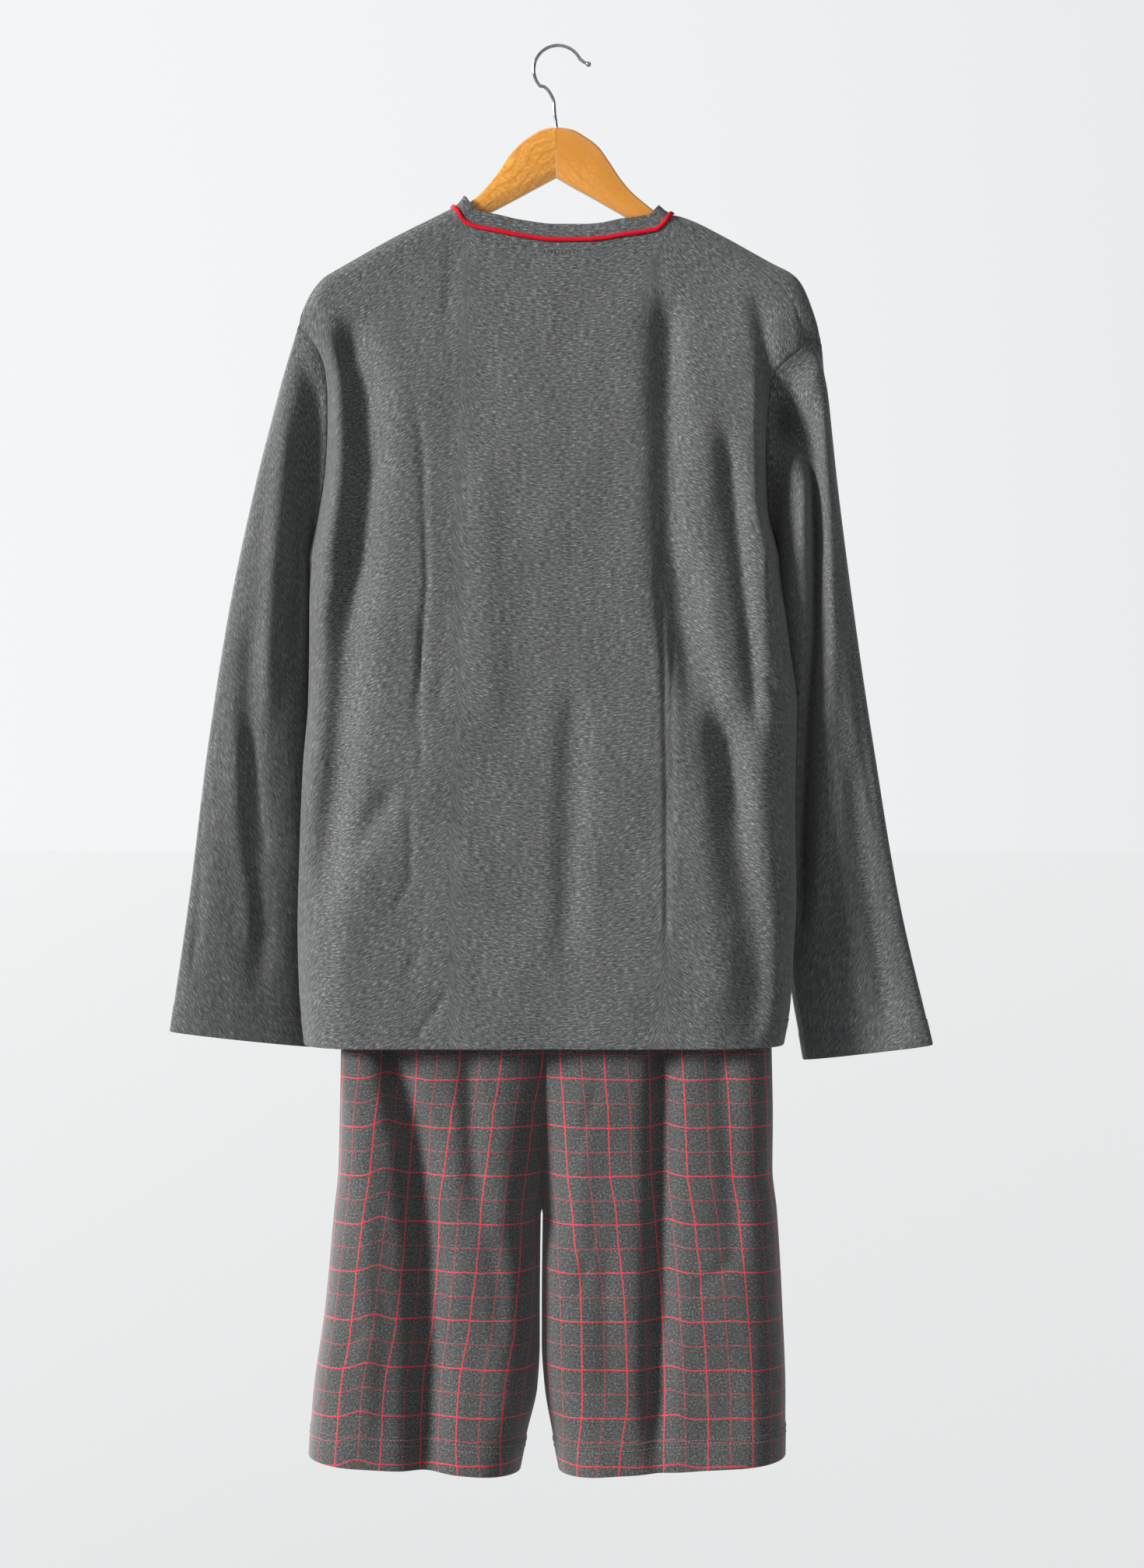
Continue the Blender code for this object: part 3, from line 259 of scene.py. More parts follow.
def fleckedGrey(finish, look, flecks):
    # fibres of a dark and a light grey spun together
    long = finish.noise(flecks, detail=3.0, roughness=0.65)
    fine = finish.noise(finish.clothPlace(1700, 1900), detail=1.0)
    broad = finish.noise(finish.clothPlace(22, 16), detail=2.0)
    darkShare = finish.between(long, 0.30, 0.52, 1.0, 0.0)
    lightShare = finish.between(long * 0.6 + fine * 0.4, 0.52, 0.68)
    colour = finish.blend(darkShare * 0.80, look["middle"], look["dark"])
    colour = finish.blend(lightShare * 0.75, colour, look["light"])
    tint = finish.noise(finish.clothPlace(260, 420), detail=1.0)
    cool = finish.blend(finish.between(tint, 0.55, 0.75), (1, 1, 1), (0.86, 1.0, 1.06))
    warm = finish.blend(finish.between(tint, 0.25, 0.42, 1.0, 0.0), cool, (1.08, 1.0, 0.90))
    colour = finish.blend(1.0, colour, warm, "MULTIPLY")
    shade = finish.between(broad, 0.30, 0.70, 0.93, 1.07)
    shadeColour = finish.node("ShaderNodeCombineColor", None, {0: shade, 1: shade, 2: shade})
    return finish.blend(1.0, colour, shadeColour, "MULTIPLY")


def setCloth(finish, look, colour, normal):
    return finish.set(baseColor=colour, roughness=look["roughness"], normal=normal,
                      specular=look["specular"], sheen=look["sheen"], sheenRoughness=0.5)


def wave(finish, coordinate, pitch):
    # 0 to 1 and back, once in each pitch
    turned = finish.node("ShaderNodeMath", {"operation": "SINE"}, {0: coordinate * (2 * math.pi / pitch)})
    return turned * 0.5 + 0.5


def makeJersey(name="heatherJersey"):
    finish = Finish(name)
    flecks = finish.clothPlace(1 / jerseyLook["fleckAcross"], 1 / jerseyLook["fleckDown"])
    colour = fleckedGrey(finish, jerseyLook, flecks)
    place = finish.clothPlace()
    across, down = finish.along(place, "X"), finish.along(place, "Y")
    stitches = wave(finish, across, jerseyLook["waleWidth"]) * wave(finish, down, jerseyLook["rowHeight"])
    fuzz = finish.noise(finish.clothPlace(900, 900), detail=2.0)
    normal = finish.bump(stitches * 0.5 + fuzz * 0.3, 0.00020, 0.55)
    creases = finish.noise(finish.clothPlace(70, 26))
    normal = finish.bump(creases, 0.0011, 0.45, normal)
    return setCloth(finish, jerseyLook, colour, normal)


def checkLines(finish, coordinate, pitch):
    # woven lines every pitch, every other one weaker
    turns = coordinate / pitch
    offCentre = finish.node("ShaderNodeMath", {"operation": "PINGPONG"}, {0: turns, 1: 0.5})
    halfWidth = flannelLook["lineWidth"] / pitch / 2
    line = finish.between(offCentre, halfWidth * 0.55, halfWidth * 1.45, 1.0, 0.0)
    pair = finish.node("ShaderNodeMath", {"operation": "PINGPONG"}, {0: turns, 1: 1.0})
    strength = finish.between(pair, 0.35, 0.65, flannelLook["weakLine"], 1.0)
    return line * strength


def makeFlannel():
    finish = Finish("checkedFlannel")
    colour = fleckedGrey(finish, flannelLook, finish.clothPlace(560, 620))
    place = finish.clothPlace()
    drift = finish.noise(finish.clothPlace(9, 7), detail=1.0) * 0.006
    across = finish.along(place, "X") + drift
    down = finish.along(place, "Y") + drift * 0.8
    upright = checkLines(finish, across, flannelLook["pitchAcross"])
    level = checkLines(finish, down, flannelLook["pitchDown"])
    threads = finish.noise(finish.clothPlace(1500, 1500), detail=1.0)
    worn = finish.between(threads, 0.30, 0.60, 0.45, 1.0)
    crossing = upright * level
    red = (upright + level - crossing) * worn * 0.80 + crossing * 0.25
    red = finish.node("ShaderNodeMath", {"operation": "MINIMUM"}, {0: red, 1: 1.0})
    colour = finish.blend(red, colour, flannelLook["line"])
    twill = wave(finish, across + down, flannelLook["weavePitch"])
    nap = finish.noise(finish.clothPlace(800, 800), detail=3.0)
    normal = finish.bump(twill * 0.35 + nap * 0.9, 0.00022, 0.6)
    creases = finish.noise(finish.clothPlace(60, 42), detail=3.0, roughness=0.6)
    normal = finish.bump(creases, 0.0016, 0.65, normal)
    return setCloth(finish, flannelLook, colour, normal)


pipingLook = {"dark": (0.30, 0.001, 0.006), "light": (0.43, 0.002, 0.013)}
# the chrome's dark base colours are painted reflection of a dark room; the rub between them is wear
chromeLook = {"dark": (0.20, 0.20, 0.21), "light": (0.32, 0.32, 0.33)}
nylonLook = {"dark": (0.78, 0.79, 0.80), "light": (0.88, 0.88, 0.88)}


def makePipingRed():
    finish = Finish("redPiping")
    yarn = finish.noise(finish.clothPlace(600, 1800), detail=2.0)
    colour = finish.blend(finish.between(yarn, 0.35, 0.65), pipingLook["dark"], pipingLook["light"])
    normal = finish.bump(yarn, 0.00015, 0.5)
    return finish.set(baseColor=colour, roughness=0.80, normal=normal, specular=0.15)


def makeThread(name, colour):
    finish = Finish(name)
    twist = finish.noise(finish.objectPlace(), 1.0, scale=2500.0)
    darker = tuple(part * 0.75 for part in colour)
    return finish.set(baseColor=finish.blend(twist, darker, colour), roughness=0.8)


woodLook = {
    "pale": (0.520, 0.245, 0.036),
    "deep": (0.375, 0.145, 0.012),
    "ring": (0.300, 0.103, 0.009),
    "heart": (0.004, 0, 0.012),        # where the rings' middle lies
    "grainLength": 0.16,
    "ringPitch": 0.0085,
}


def makeWood(name, angle, swirl, deepGrainAndShade):
    # lacquered wood whose grain runs along the arm
    finish = Finish(name)
    turn = (0, math.radians(angle), 0)
    sockets = {"Vector": finish.objectPlace(), "Rotation": turn, "Location": woodLook["heart"]}
    turned = finish.node("ShaderNodeMapping", {"vector_type": "POINT"}, sockets)
    bent = finish.noise(turned, scale=22.0)
    across, along = finish.along(turned, "Z"), finish.along(turned, "X")
    rings = across + bent * swirl + along * along * 1.5
    ring = finish.between(wave(finish, rings, woodLook["ringPitch"]), 0.55, 1.0)
    sockets = {0: turned, 1: (1 / woodLook["grainLength"], 9, 9)}
    stretched = finish.node("ShaderNodeVectorMath", {"operation": "MULTIPLY"}, sockets)
    fibre = finish.noise(stretched, 4.0, 0.6, 60.0)
    colour = finish.blend(finish.between(fibre, 0.30, 0.72), woodLook["deep"], woodLook["pale"])
    colour = finish.blend(ring * 0.42, colour, woodLook["ring"])
    # deeper wood where the rings bend is real grain; the right arm's much larger share is painted shade
    deepGrainAndShadeShare = finish.between(bent, 0.35, 0.75, deepGrainAndShade, deepGrainAndShade * 0.35)
    colour = finish.blend(deepGrainAndShadeShare, colour, woodLook["deep"])
    normal = finish.bump(fibre + ring * 0.3, 0.00010, 0.35)
    roughness = finish.between(fibre, 0.3, 0.7, 0.30, 0.42)
    return finish.set(baseColor=colour, roughness=roughness, normal=normal, coat=0.35, coatRoughness=0.18)


def makeChrome():
    finish = Finish("chromeWire")
    rub = finish.noise(finish.objectPlace(), 3.0, scale=400.0)
    # dark metal, a painted reflection of a dark room, lighter where rubbed
    colour = finish.blend(finish.between(rub, 0.3, 0.7), chromeLook["dark"], chromeLook["light"])
    return finish.set(baseColor=colour, roughness=finish.between(rub, 0.3, 0.7, 0.10, 0.20), metallic=1.0)


def makeNylon():
    finish = Finish("clearNylon")
    cloud = finish.noise(finish.objectPlace(), scale=300.0)
    colour = finish.blend(cloud, nylonLook["dark"], nylonLook["light"])
    return finish.set(baseColor=colour, roughness=0.4)


# curves through short tables

def rowsOf(columns, *rows):
    # a short table in millimetres as named columns in metres; a share or a pull has no unit
    table = {}
    for place, name in enumerate(columns.split()):
        table[name] = np.array([row[place] for row in rows]) / (1 if name in ("share", "pull") else 1000)
    return table


def follow(stations, values, at):
    # a smooth curve through the values, without overshoot
    order = np.argsort(stations)
    x = np.asarray(stations, float)[order]
    y = np.asarray(values, float)[order]
    step = np.diff(x)
    slope = np.diff(y) / step
    tangent = np.zeros_like(y)
    tangent[0] = slope[0]
    tangent[-1] = slope[-1]
    sameWay = slope[:-1] * slope[1:] > 0
    total = np.where(sameWay, slope[:-1] + slope[1:], 1)
    tangent[1:-1] = np.where(sameWay, 2 * slope[:-1] * slope[1:] / total, 0)
    at = np.clip(at, x[0], x[-1])
    piece = np.clip(np.searchsorted(x, at) - 1, 0, len(step) - 1)
    t = (at - x[piece]) / step[piece]
    rise = 3 * t ** 2 - 2 * t ** 3
    startPull = (t ** 3 - 2 * t ** 2 + t) * step[piece] * tangent[piece]
    endPull = (t ** 3 - t ** 2) * step[piece] * tangent[piece + 1]
    return y[piece] * (1 - rise) + y[piece + 1] * rise + startPull + endPull


def smooth(share):
    share = np.clip(share, 0, 1)
    return share * share * (3 - 2 * share)


def unit(vectors):
    return vectors / np.maximum(np.linalg.norm(vectors, axis=-1, keepdims=True), 1e-12)


def lineLength(points, axis=0):
    # how far each point is along its line, or along the columns (0) or rows (1) of a grid
    steps = np.linalg.norm(np.diff(points, axis=axis), axis=-1)
    return np.insert(np.cumsum(steps, axis=axis), 0, 0, axis=axis)


def roundLength(ring):
    # how far each point is round a closed ring
    return lineLength(np.concatenate([ring, ring[:1]]))[:-1]


def pointAt(place, stations, points):
    return np.array([np.interp(place, stations, column) for column in points.T])


# folds

foldPlan = {
    "startsOver": 0.045,       # metres over which a fold starts
    "endShare": 0.22,          # share of its length over which it ends, and starts at most
    "leanShare": 0.75,         # how much of the width a full lean takes from the steep side
    "ripples": ((0.16, 1.0), (0.09, 0.7), (0.05, 0.35), (0.028, 0.16)),    # pitch and share
}


def foldDepth(x, z, folds):
    # how far the folds push the cloth in at each point
    total = np.zeros(np.broadcast(x, z).shape)
    for depth, width, lean, path in folds:
        path = np.array(path) / 1000
        nearest = np.full(total.shape, np.inf)
        side = np.zeros(total.shape)
        along = np.zeros(total.shape)
        length = lineLength(path)
        for start, end, before in zip(path[:-1], path[1:], length[:-1]):
            run = end - start
            size = np.hypot(*run)
            share = np.clip(((x - start[0]) * run[0] + (z - start[1]) * run[1]) / size ** 2, 0, 1)
            offX = x - start[0] - share * run[0]
            offZ = z - start[1] - share * run[1]
            away = np.hypot(offX, offZ)
            closer = away < nearest
            right = (offZ * run[0] - offX * run[1]) / size
            right = right if run[1] < 0 else -right
            nearest = np.where(closer, away, nearest)
            side = np.where(closer, np.sign(right), side)
            along = np.where(closer, (before + share * size) / length[-1], along)
        lean = lean * foldPlan["leanShare"]
        reach = width / 1000 * np.where(side > 0, 1 - max(lean, 0), 1 + min(lean, 0))
        start = min(foldPlan["endShare"], foldPlan["startsOver"] / length[-1])
        fade = smooth(along / start) * smooth((1 - along) / foldPlan["endShare"])
        total += depth / 1000 * fade * np.exp(-(nearest / reach) ** 2)
    return total


def ripples(x, z, height, seed):
    # faint unevenness, from long waves down to short ones
    random = np.random.default_rng(seed)
    total = np.zeros(np.broadcast(x, z).shape)
    for pitch, share in foldPlan["ripples"]:
        for _ in range(4):
            turn = random.uniform(0, math.pi)
            start = random.uniform(0, 2 * math.pi)
            run = x * math.cos(turn) * 1.5 + z * math.sin(turn) * 0.7
            total += share * np.sin(2 * math.pi * run / pitch + start)
    return total * height / 4


# from grids of points to cloth

def ownNormals(grid):
    across = grid[1:, 1:] - grid[:-1, :-1]
    up = grid[1:, :-1] - grid[:-1, 1:]
    faces = np.cross(across, up)
    total = np.zeros_like(grid)
    for rows in (slice(None, -1), slice(1, None)):
        for columns in (slice(None, -1), slice(1, None)):
            total[rows, columns] += faces
    return unit(total)


def sewnNormals(grids):
    # outward directions of every grid, shared along the seams
    own = {}
    keys = {}
    sums = {}
    for name, grid in grids.items():
        own[name] = ownNormals(grid)
        edge = np.zeros(grid.shape[:2], bool)
        edge[0] = edge[-1] = True
        edge[:, 0] = edge[:, -1] = True
        keys[name] = edge
        for point, normal in zip(np.round(grid[edge], 5).tolist(), own[name][edge]):
            sums[tuple(point)] = sums.get(tuple(point), 0) + normal
    for name, grid in grids.items():
        edge = keys[name]
        own[name][edge] = [unit(sums[tuple(point)]) for point in np.round(grid[edge], 5).tolist()]
    return own


def clothCoordinates(grid, middleColumn):
    # metres across from a middle column and down from the top row, measured on the cloth
    across = lineLength(grid, 1)
    across -= across[:, middleColumn:middleColumn + 1]
    return np.stack([across, lineLength(grid[::-1])[::-1]], axis=-1)


def addMesh(name, vertices, faces, material, cloth=None, sharpAngle=None):
    # a piece, with its cloth coordinates given for each vertex
    mesh = bpy.data.meshes.new(name)
    mesh.from_pydata(np.asarray(vertices).tolist(), [], faces)
    mesh.shade_smooth()
    if sharpAngle:
        mesh.set_sharp_from_angle(angle=math.radians(sharpAngle))
    if cloth is not None:
        layer = mesh.uv_layers.new(name="cloth")
        corners = np.zeros(len(mesh.loops), np.int32)
        mesh.loops.foreach_get("vertex_index", corners)
        layer.data.foreach_set("uv", np.asarray(cloth)[corners].astype(np.float32).ravel())
    mesh.materials.append(material)
    piece = bpy.data.objects.new(name, mesh)
    bpy.context.scene.collection.objects.link(piece)
    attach(piece, "root")
    return piece


def addCloth(name, grid, normals, thickness, material, cloth, closed=False):
    # a cloth wall round a grid: its outer and inner face and the rims between them
    half = (np.asarray(thickness) * 0.5)[..., None]
    outer, inner = grid + normals * half, grid - normals * half
    vertices = np.concatenate([outer.reshape(-1, 3), inner.reshape(-1, 3)])
    rows, columns = grid.shape[:2]
    count = rows * columns
    place = np.arange(count).reshape(rows, columns)
    if closed:
        place = np.concatenate([place, place[:, :1]], axis=1)
    quads = np.stack([place[:-1, :-1], place[:-1, 1:], place[1:, 1:], place[1:, :-1]], axis=-1)
    quads = quads.reshape(-1, 4)
    rims = [(place[0, 1:], place[0, :-1]), (place[-1, :-1], place[-1, 1:])]
    if not closed:
        rims += [(place[:-1, 0], place[1:, 0]), (place[1:, -1], place[:-1, -1])]
    sides = [np.stack([first, second, second + count, first + count], axis=-1) for first, second in rims]
    faces = np.concatenate([quads, quads[:, ::-1] + count, *sides]).tolist()
    flat = cloth.reshape(-1, 2)
    return addMesh(name, vertices, faces, material, np.concatenate([flat, flat]), 60)


def tubeFaces(rings, sides, closed=False):
    # the faces between rings of points, and the two ends of an open tube
    faces = []
    for ring in range(rings if closed else rings - 1):
        here, after = ring * sides, (ring + 1) % rings * sides
        for side in range(sides):
            beside = (side + 1) % sides
            faces.append((here + side, after + side, after + beside, here + beside))
    if not closed:
        faces += [tuple(range(sides)), tuple(reversed(range((rings - 1) * sides, rings * sides)))]
    return faces


threadPlan = {
    "radius": 0.00022,
    "lift": 0.00018,
    "sides": 4,
    # place along a stitch, thickness, height over the cloth
    "shape": ((-0.5, 0.35, -1.2), (-0.28, 1.0, 0.2), (0.28, 1.0, 0.2), (0.5, 0.35, -1.2)),
}


def addStitches(name, runs, material, radius=threadPlan["radius"], lift=threadPlan["lift"]):
    # short sewn stitches; each run is (points, normals, length of a stitch, gap after it)
    sides, shape = threadPlan["sides"], threadPlan["shape"]
    ringTurns = np.linspace(0, 2 * math.pi, sides + 1)[:-1]
    stitchFaces = tubeFaces(len(shape), sides)
    vertices = []
    faces = []
    for points, normals, stitch, gap in runs:
        length = lineLength(points)
        for number in range(int(length[-1] / (stitch + gap))):
            middle = (number + 0.5) * (stitch + gap)
            at = pointAt(middle, length, points)
            out = unit(pointAt(middle, length, normals))
            ahead = unit(pointAt(middle + 0.0005, length, points) - at + 1e-9)
            beside = np.cross(ahead, out)
            first = len(vertices)
            for share, wide, rise in shape:
                centre = at + ahead * share * stitch + out * (lift + rise * radius)
                for turn in ringTurns:
                    off = beside * math.cos(turn) + out * math.sin(turn)
                    vertices.append(centre + off * radius * wide)
            faces += [tuple(first + corner for corner in face) for face in stitchFaces]
    return addMesh(name, vertices, faces, material)


def levelLine(grid, normals, height, thickness):
    # a line on the outer face, at a height above the piece's first row measured on the cloth
    rise = lineLength(grid)
    points = []
    out = []
    for column in range(grid.shape[1]):
        way = pointAt(height, rise[:, column], normals[:, column])
        points.append(pointAt(height, rise[:, column], grid[:, column]) + way * thickness / 2)
        out.append(way)
    return np.array(points), unit(np.array(out))


spanPlan = {
    "dense": (1.6, 0.035),     # how much closer the columns are at a dense place, and how far round it
    "side": (2.5, 0.025),      # the same at a side
}


def spanShares(start, end, count, dense, atStart, atEnd):
    # shares from start to end, closer together round the dense places and at a side
    fine = np.linspace(start, end, 400)
    weight = np.ones_like(fine)
    closer, reach = spanPlan["dense"]
    for place in dense:
        weight += closer * np.exp(-((fine - place) / reach) ** 2)
    closer, reach = spanPlan["side"]
    if atStart:
        weight += closer * np.exp(-(fine - start) / reach)
    if atEnd:
        weight += closer * np.exp(-(end - fine) / reach)
    total = np.concatenate([[0], np.cumsum((weight[1:] + weight[:-1]) / 2)])
    return np.interp(np.linspace(0, total[-1], count + 1), total, fine)


# the top

topPlan = {
    "wall": 0.0012,
    "hemExtra": 0.0009,         # what the turned-up edge adds
    "hemHeight": 0.0232,
    "stitchHeights": (0.0155, 0.0218),
    "stitch": (0.0021, 0.0006),         # length of a stitch and the gap after it
    "threadColour": (0.115, 0.12, 0.13),
    "shoulderStitchBelow": 0.0055,
    "sink": 0.0005,             # how deep the cloth dips beside a seam
    "topSink": 1.8,             # how many times that along the shoulders
    "flats": {                  # node, width and length before sewing, area of the cut piece
        "topBack": ("back_panel", 0.475, 0.735, 0.315),
        "topFront": ("front_panel", 0.475, 0.735, 0.300),
        "sleeveLeft": ("sleeve_left", 0.330, 0.610, 0.122),
        "sleeveRight": ("sleeve_right", 0.330, 0.610, 0.122),
    },
    "hemZ": -0.858,
    "armpitZ": -0.438,
    "crestRadius": 0.009,
    "rightCrest": 0.0050,       # the bend is that much wider over the right arm, from there on
    "rightCrestFrom": 0.100,
    "unevenness": 0.0011,
    "backSeed": 3,
    "frontSeed": 8,
    "foldsFrom": 0.012,         # how far below the crest the folds start
    "leftNeck": 0.3058,         # where the neck starts and ends across the top
    "rightNeck": 0.7394,
    "shoulderColumns": 46,
    "neckColumns": 84,
    "lowerRows": 118,
    "upperRows": 62,
    "hemRows": 16,
    "bendRows": 20,
    "bendReach": 0.045,
    "leftSide": rowsOf(
        "z x y",
        (-438, -216.5, 18), (-460, -215, 16), (-495, -214.7, 14), (-560, -215.7, 13), (-622, -220.4, 12),
        (-696, -223.3, 12), (-757, -224.8, 12), (-812, -223.3, 12), (-858, -218.7, 12)),
    "rightSide": rowsOf(
        "z x y",
        (-438, 192.5, 18), (-460, 193.6, 16), (-480, 195.7, 14), (-519, 200.5, 13), (-565, 206, 12),
        (-657, 204.4, 12), (-732, 205.4, 12), (-783, 202.9, 12), (-824, 200.3, 12), (-858, 194.3, 12)),
    "leftArmholeBack": rowsOf(
        "x y z",
        (-216.5, 18, -438), (-207, 10, -402), (-200.8, 4, -366), (-198.5, 1, -330), (-198.2, -3, -302),
        (-200.3, -5, -278), (-206, -5, -262), (-213.5, -3, -250), (-223.2, 0, -239)),
    "leftArmholeFront": rowsOf(
        "x y z",
        (-216.5, 18, -438), (-206, 26, -402), (-204, 29, -360), (-207, 28, -330), (-212.5, 22, -294),
        (-219, 10, -260), (-223.2, 0, -239)),
    "rightArmholeBack": rowsOf(
        "x y z",
        (192.5, 18, -438), (181, 9, -396), (179, 4, -345), (181, -1, -300), (185, -9, -282.5),
        (195, -14, -271.5), (206, -14, -262), (211.1, -10, -252)),
    "rightArmholeFront": rowsOf(
        "x y z",
        (192.5, 18, -438), (190, 26, -396), (194, 29, -345), (206, 24, -300), (221, 14, -268),
        (226.2, 2, -253.5), (211.1, -10, -252)),
    # where the cloth bends over the hanger's two arms, level across the neck
    "crest": rowsOf(
        "x z",
        (-223.6, -239), (-223, -227), (-218.6, -214.7), (-213.8, -207.5), (-205.4, -200.3), (-190, -191.5),
        (-143, -165), (-92.6, -139.8), (-84, -135.2), (-75, -131.2), (-50, -128), (50, -128), (75, -133.2),
        (84, -137.6), (94, -142.5), (132, -164.2), (169.5, -185.6), (196.3, -200.3), (209, -214),
        (218, -233)),
    # how far below the crest each panel starts, along the cloth; below 0 is beyond the crest
    "backStart": rowsOf(
        "x start",
        (-90.1, 0), (-86.8, 9), (-82, 21.2), (-73.1, 29.9), (-53.6, 36.8), (-28.8, 41.5), (-3.9, 44.5),
        (24.4, 44.5), (45.7, 42.4), (67, 36), (83, 27.3), (90, 18.6), (95, 8.8), (98, 0), (103, 7),
        (115.7, 12.2), (142.7, 14.8), (171.8, 14.4), (186.3, 15.6), (195, 19), (202.3, 21.5), (206.6, 26.5),
        (209.6, 34)),
    "frontStart": rowsOf(
        "x start",
        (-90.1, 0), (-82, 21.9), (-69, 52.6), (-40, 87.1), (2, 99.1), (44, 87.1), (74, 52.6), (89, 21.9),
        (98, 0), (103, -7), (115.7, -12.2), (142.7, -14.8), (171.8, -14.4), (186.3, -15.6), (195, -19),
        (202.3, -21.5), (206.6, -26.5), (209.6, -34)),
    # the two faces' distance from the middle, the roll at the sides, the pull of the seams
    "depths": rowsOf(
        "z back front roll rightRoll pull",
        (-130, 10, 10, 10, 10, 0.03), (-165, 10.8, 10.8, 10, 10, 0.03), (-200, 13, 13, 11, 11, 0.03),
        (-250, 19, 19, 14, 12, 0.035), (-300, 27, 26, 18, 13, 0.06), (-360, 34, 32, 22, 14, 0.1),
        (-440, 40, 38, 30, 18, 0.1), (-550, 45, 42, 48, 36, 0.1), (-700, 48, 45, 48, 48, 0.1),
        (-858, 49, 47, 48, 48, 0.1)),
    "dense": (0.270, 0.72),     # shares across where the columns stand closer
    "backFolds": (
        # long hollow beside the left edge
        (21.5, 16.5, 0, ((-188, -222), (-181, -252), (-168, -294), (-163, -361), (-170, -428), (-179, -495),
            (-183, -560), (-188, -620), (-195, -680), (-203, -735), (-213, -795))),
        (-5, 8, 0, ((-209, -234), (-201, -254), (-194, -275), (-191, -300), (-191, -350), (-196, -400),
            (-201, -460), (-207, -540))),
        (-3.2, 15, 0, ((-64, -340), (-62, -430), (-58, -520), (-56, -600))),
        # hollow down from the right shoulder blade
        (13.5, 15, 0.3, ((96, -205), (94, -300), (95, -420), (102, -490), (112, -545), (122, -600))),
        (8, 8.5, 0.2, ((143, -320), (147, -370), (154, -440), (163, -520), (171, -610))),
        (-2.8, 10, 0, ((124, -300), (125, -400), (128, -500), (141, -570), (153, -640))),
        # wide dent low on the right, steep on its outer side
        (7.5, 12, 0.2, ((112, -430), (120, -500), (133, -560), (146, -620), (156, -690))),
        (13.5, 20, 0.35, ((142, -560), (146, -630), (155, -700), (166, -755), (168, -805), (160, -890))),
        # middle
        (5.2, 13, 0, ((13, -540), (12, -640), (8, -740), (6, -800))),
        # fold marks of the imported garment, with a second line on the right
        (2.4, 3.2, 0, ((-125, -290), (-115, -345), (-111, -465), (-117, -540), (-126, -628))),
        (1.6, 2.8, 0, ((-116, -480), (-116, -560), (-117, -640))),
        (2, 3, 0, ((-125, -625), (-124, -715), (-147, -758))),
        (2.1, 3.2, 0, ((89, -400), (86, -470), (90, -540), (92, -650), (92, -765), (97, -812))),
        (1.5, 2.8, 0, ((97, -480), (96, -600), (98, -700))),
        # short slanting creases
        (1.5, 4, 0, ((-88, -802), (-106, -829), (-124, -855))),
        (1.3, 3.6, 0, ((-110, -770), (-122, -786), (-134, -802))),
        (1.2, 4.5, 0, ((-93, -530), (-98, -550), (-101, -572))),
        (5.2, 11, 0, ((-136, -632), (-158, -668), (-180, -704))),
        (3, 10, 0, ((-190, -752), (-198, -780), (-206, -816))),
        (4.4, 4.5, 0.4, ((184, -506), (192, -524), (196, -545), (190, -560))),
        (4, 5, 0, ((176, -540), (184, -556), (196, -566))),
        # pull lines at the shoulders and below the neck
        (7.5, 8, 0, ((168, -205), (175, -235), (178, -270), (180, -310))),
        (1.5, 6, 0, ((-88, -160), (-92, -200), (-98, -245))),
        (1.2, 6, 0, ((88, -166), (88, -205), (90, -250)))),
    "frontFolds": (
        (10, 18, 0, ((-160, -260), (-145, -420), (-150, -580), (-165, -740))),
        (11, 18, 0, ((150, -250), (130, -400), (136, -600), (150, -800))),
        (6, 22, 0.3, ((-50, -420), (-60, -560), (-70, -720), (-75, -850))),
        (5.5, 20, -0.3, ((50, -380), (46, -500), (40, -640), (44, -780))),
        (1, 3, 0, ((-110, -330), (-108, -480), (-112, -640), (-110, -790))),
        (1, 3, 0, ((92, -330), (94, -480), (91, -640), (93, -800))),
        (2, 8, 0, ((-30, -240), (-70, -300), (-100, -380))),
        (2, 8, 0, ((30, -240), (62, -300), (85, -370))),
        (1.4, 5, 0, ((-140, -700), (-110, -760), (-90, -810))),
        (1.4, 5, 0, ((120, -620), (140, -680), (170, -720)))),
}


def rollIn(distance, width, openness):
    # 0 on the side seam, 1 past the roll; it leaves the seam straight at openness 0
    t = np.clip(distance / width, 0, 1)
    return (1 - openness) * np.sqrt(1 - (1 - t) ** 2) + openness * np.sin(t * math.pi / 2)


def armholeDistances(length):
    # distances down from a top edge to the armpit: close ones over the bend, then even ones
    length = np.atleast_1d(length)[None, :]
    bend = np.linspace(0, topPlan["bendReach"], topPlan["bendRows"] + 1)[:, None] + 0 * length
    even = np.linspace(0, 1, topPlan["upperRows"] + 1)[1:, None]
    return np.concatenate([bend, bend[-1:] + (length - bend[-1:]) * even])


def hemAndUp():
    # shares from the hem to the armpit, close together in the turned-up edge
    length = topPlan["armpitZ"] - topPlan["hemZ"]
    hem = np.linspace(0, topPlan["hemHeight"] / length, topPlan["hemRows"] + 1)
    above = np.linspace(hem[-1], 1, topPlan["lowerRows"] + 1)
    return np.concatenate([hem[:-1], above])


def sideLine(side, armhole):
    # a side seam from the hem up, then an edge of the armhole up to the shoulder
    z = topPlan["hemZ"] + (topPlan["armpitZ"] - topPlan["hemZ"]) * hemAndUp()
    seam = np.stack([follow(side["z"], side["x"], z), follow(side["z"], side["y"], z), z], axis=1)
    points = np.stack([armhole["x"], armhole["y"], armhole["z"]], axis=1)
    length = lineLength(points)
    up = length[-1] - armholeDistances(length[-1])[::-1, 0]
    arm = np.stack([follow(length, column, up) for column in points.T], axis=-1)
    return np.concatenate([seam[:-1], arm])


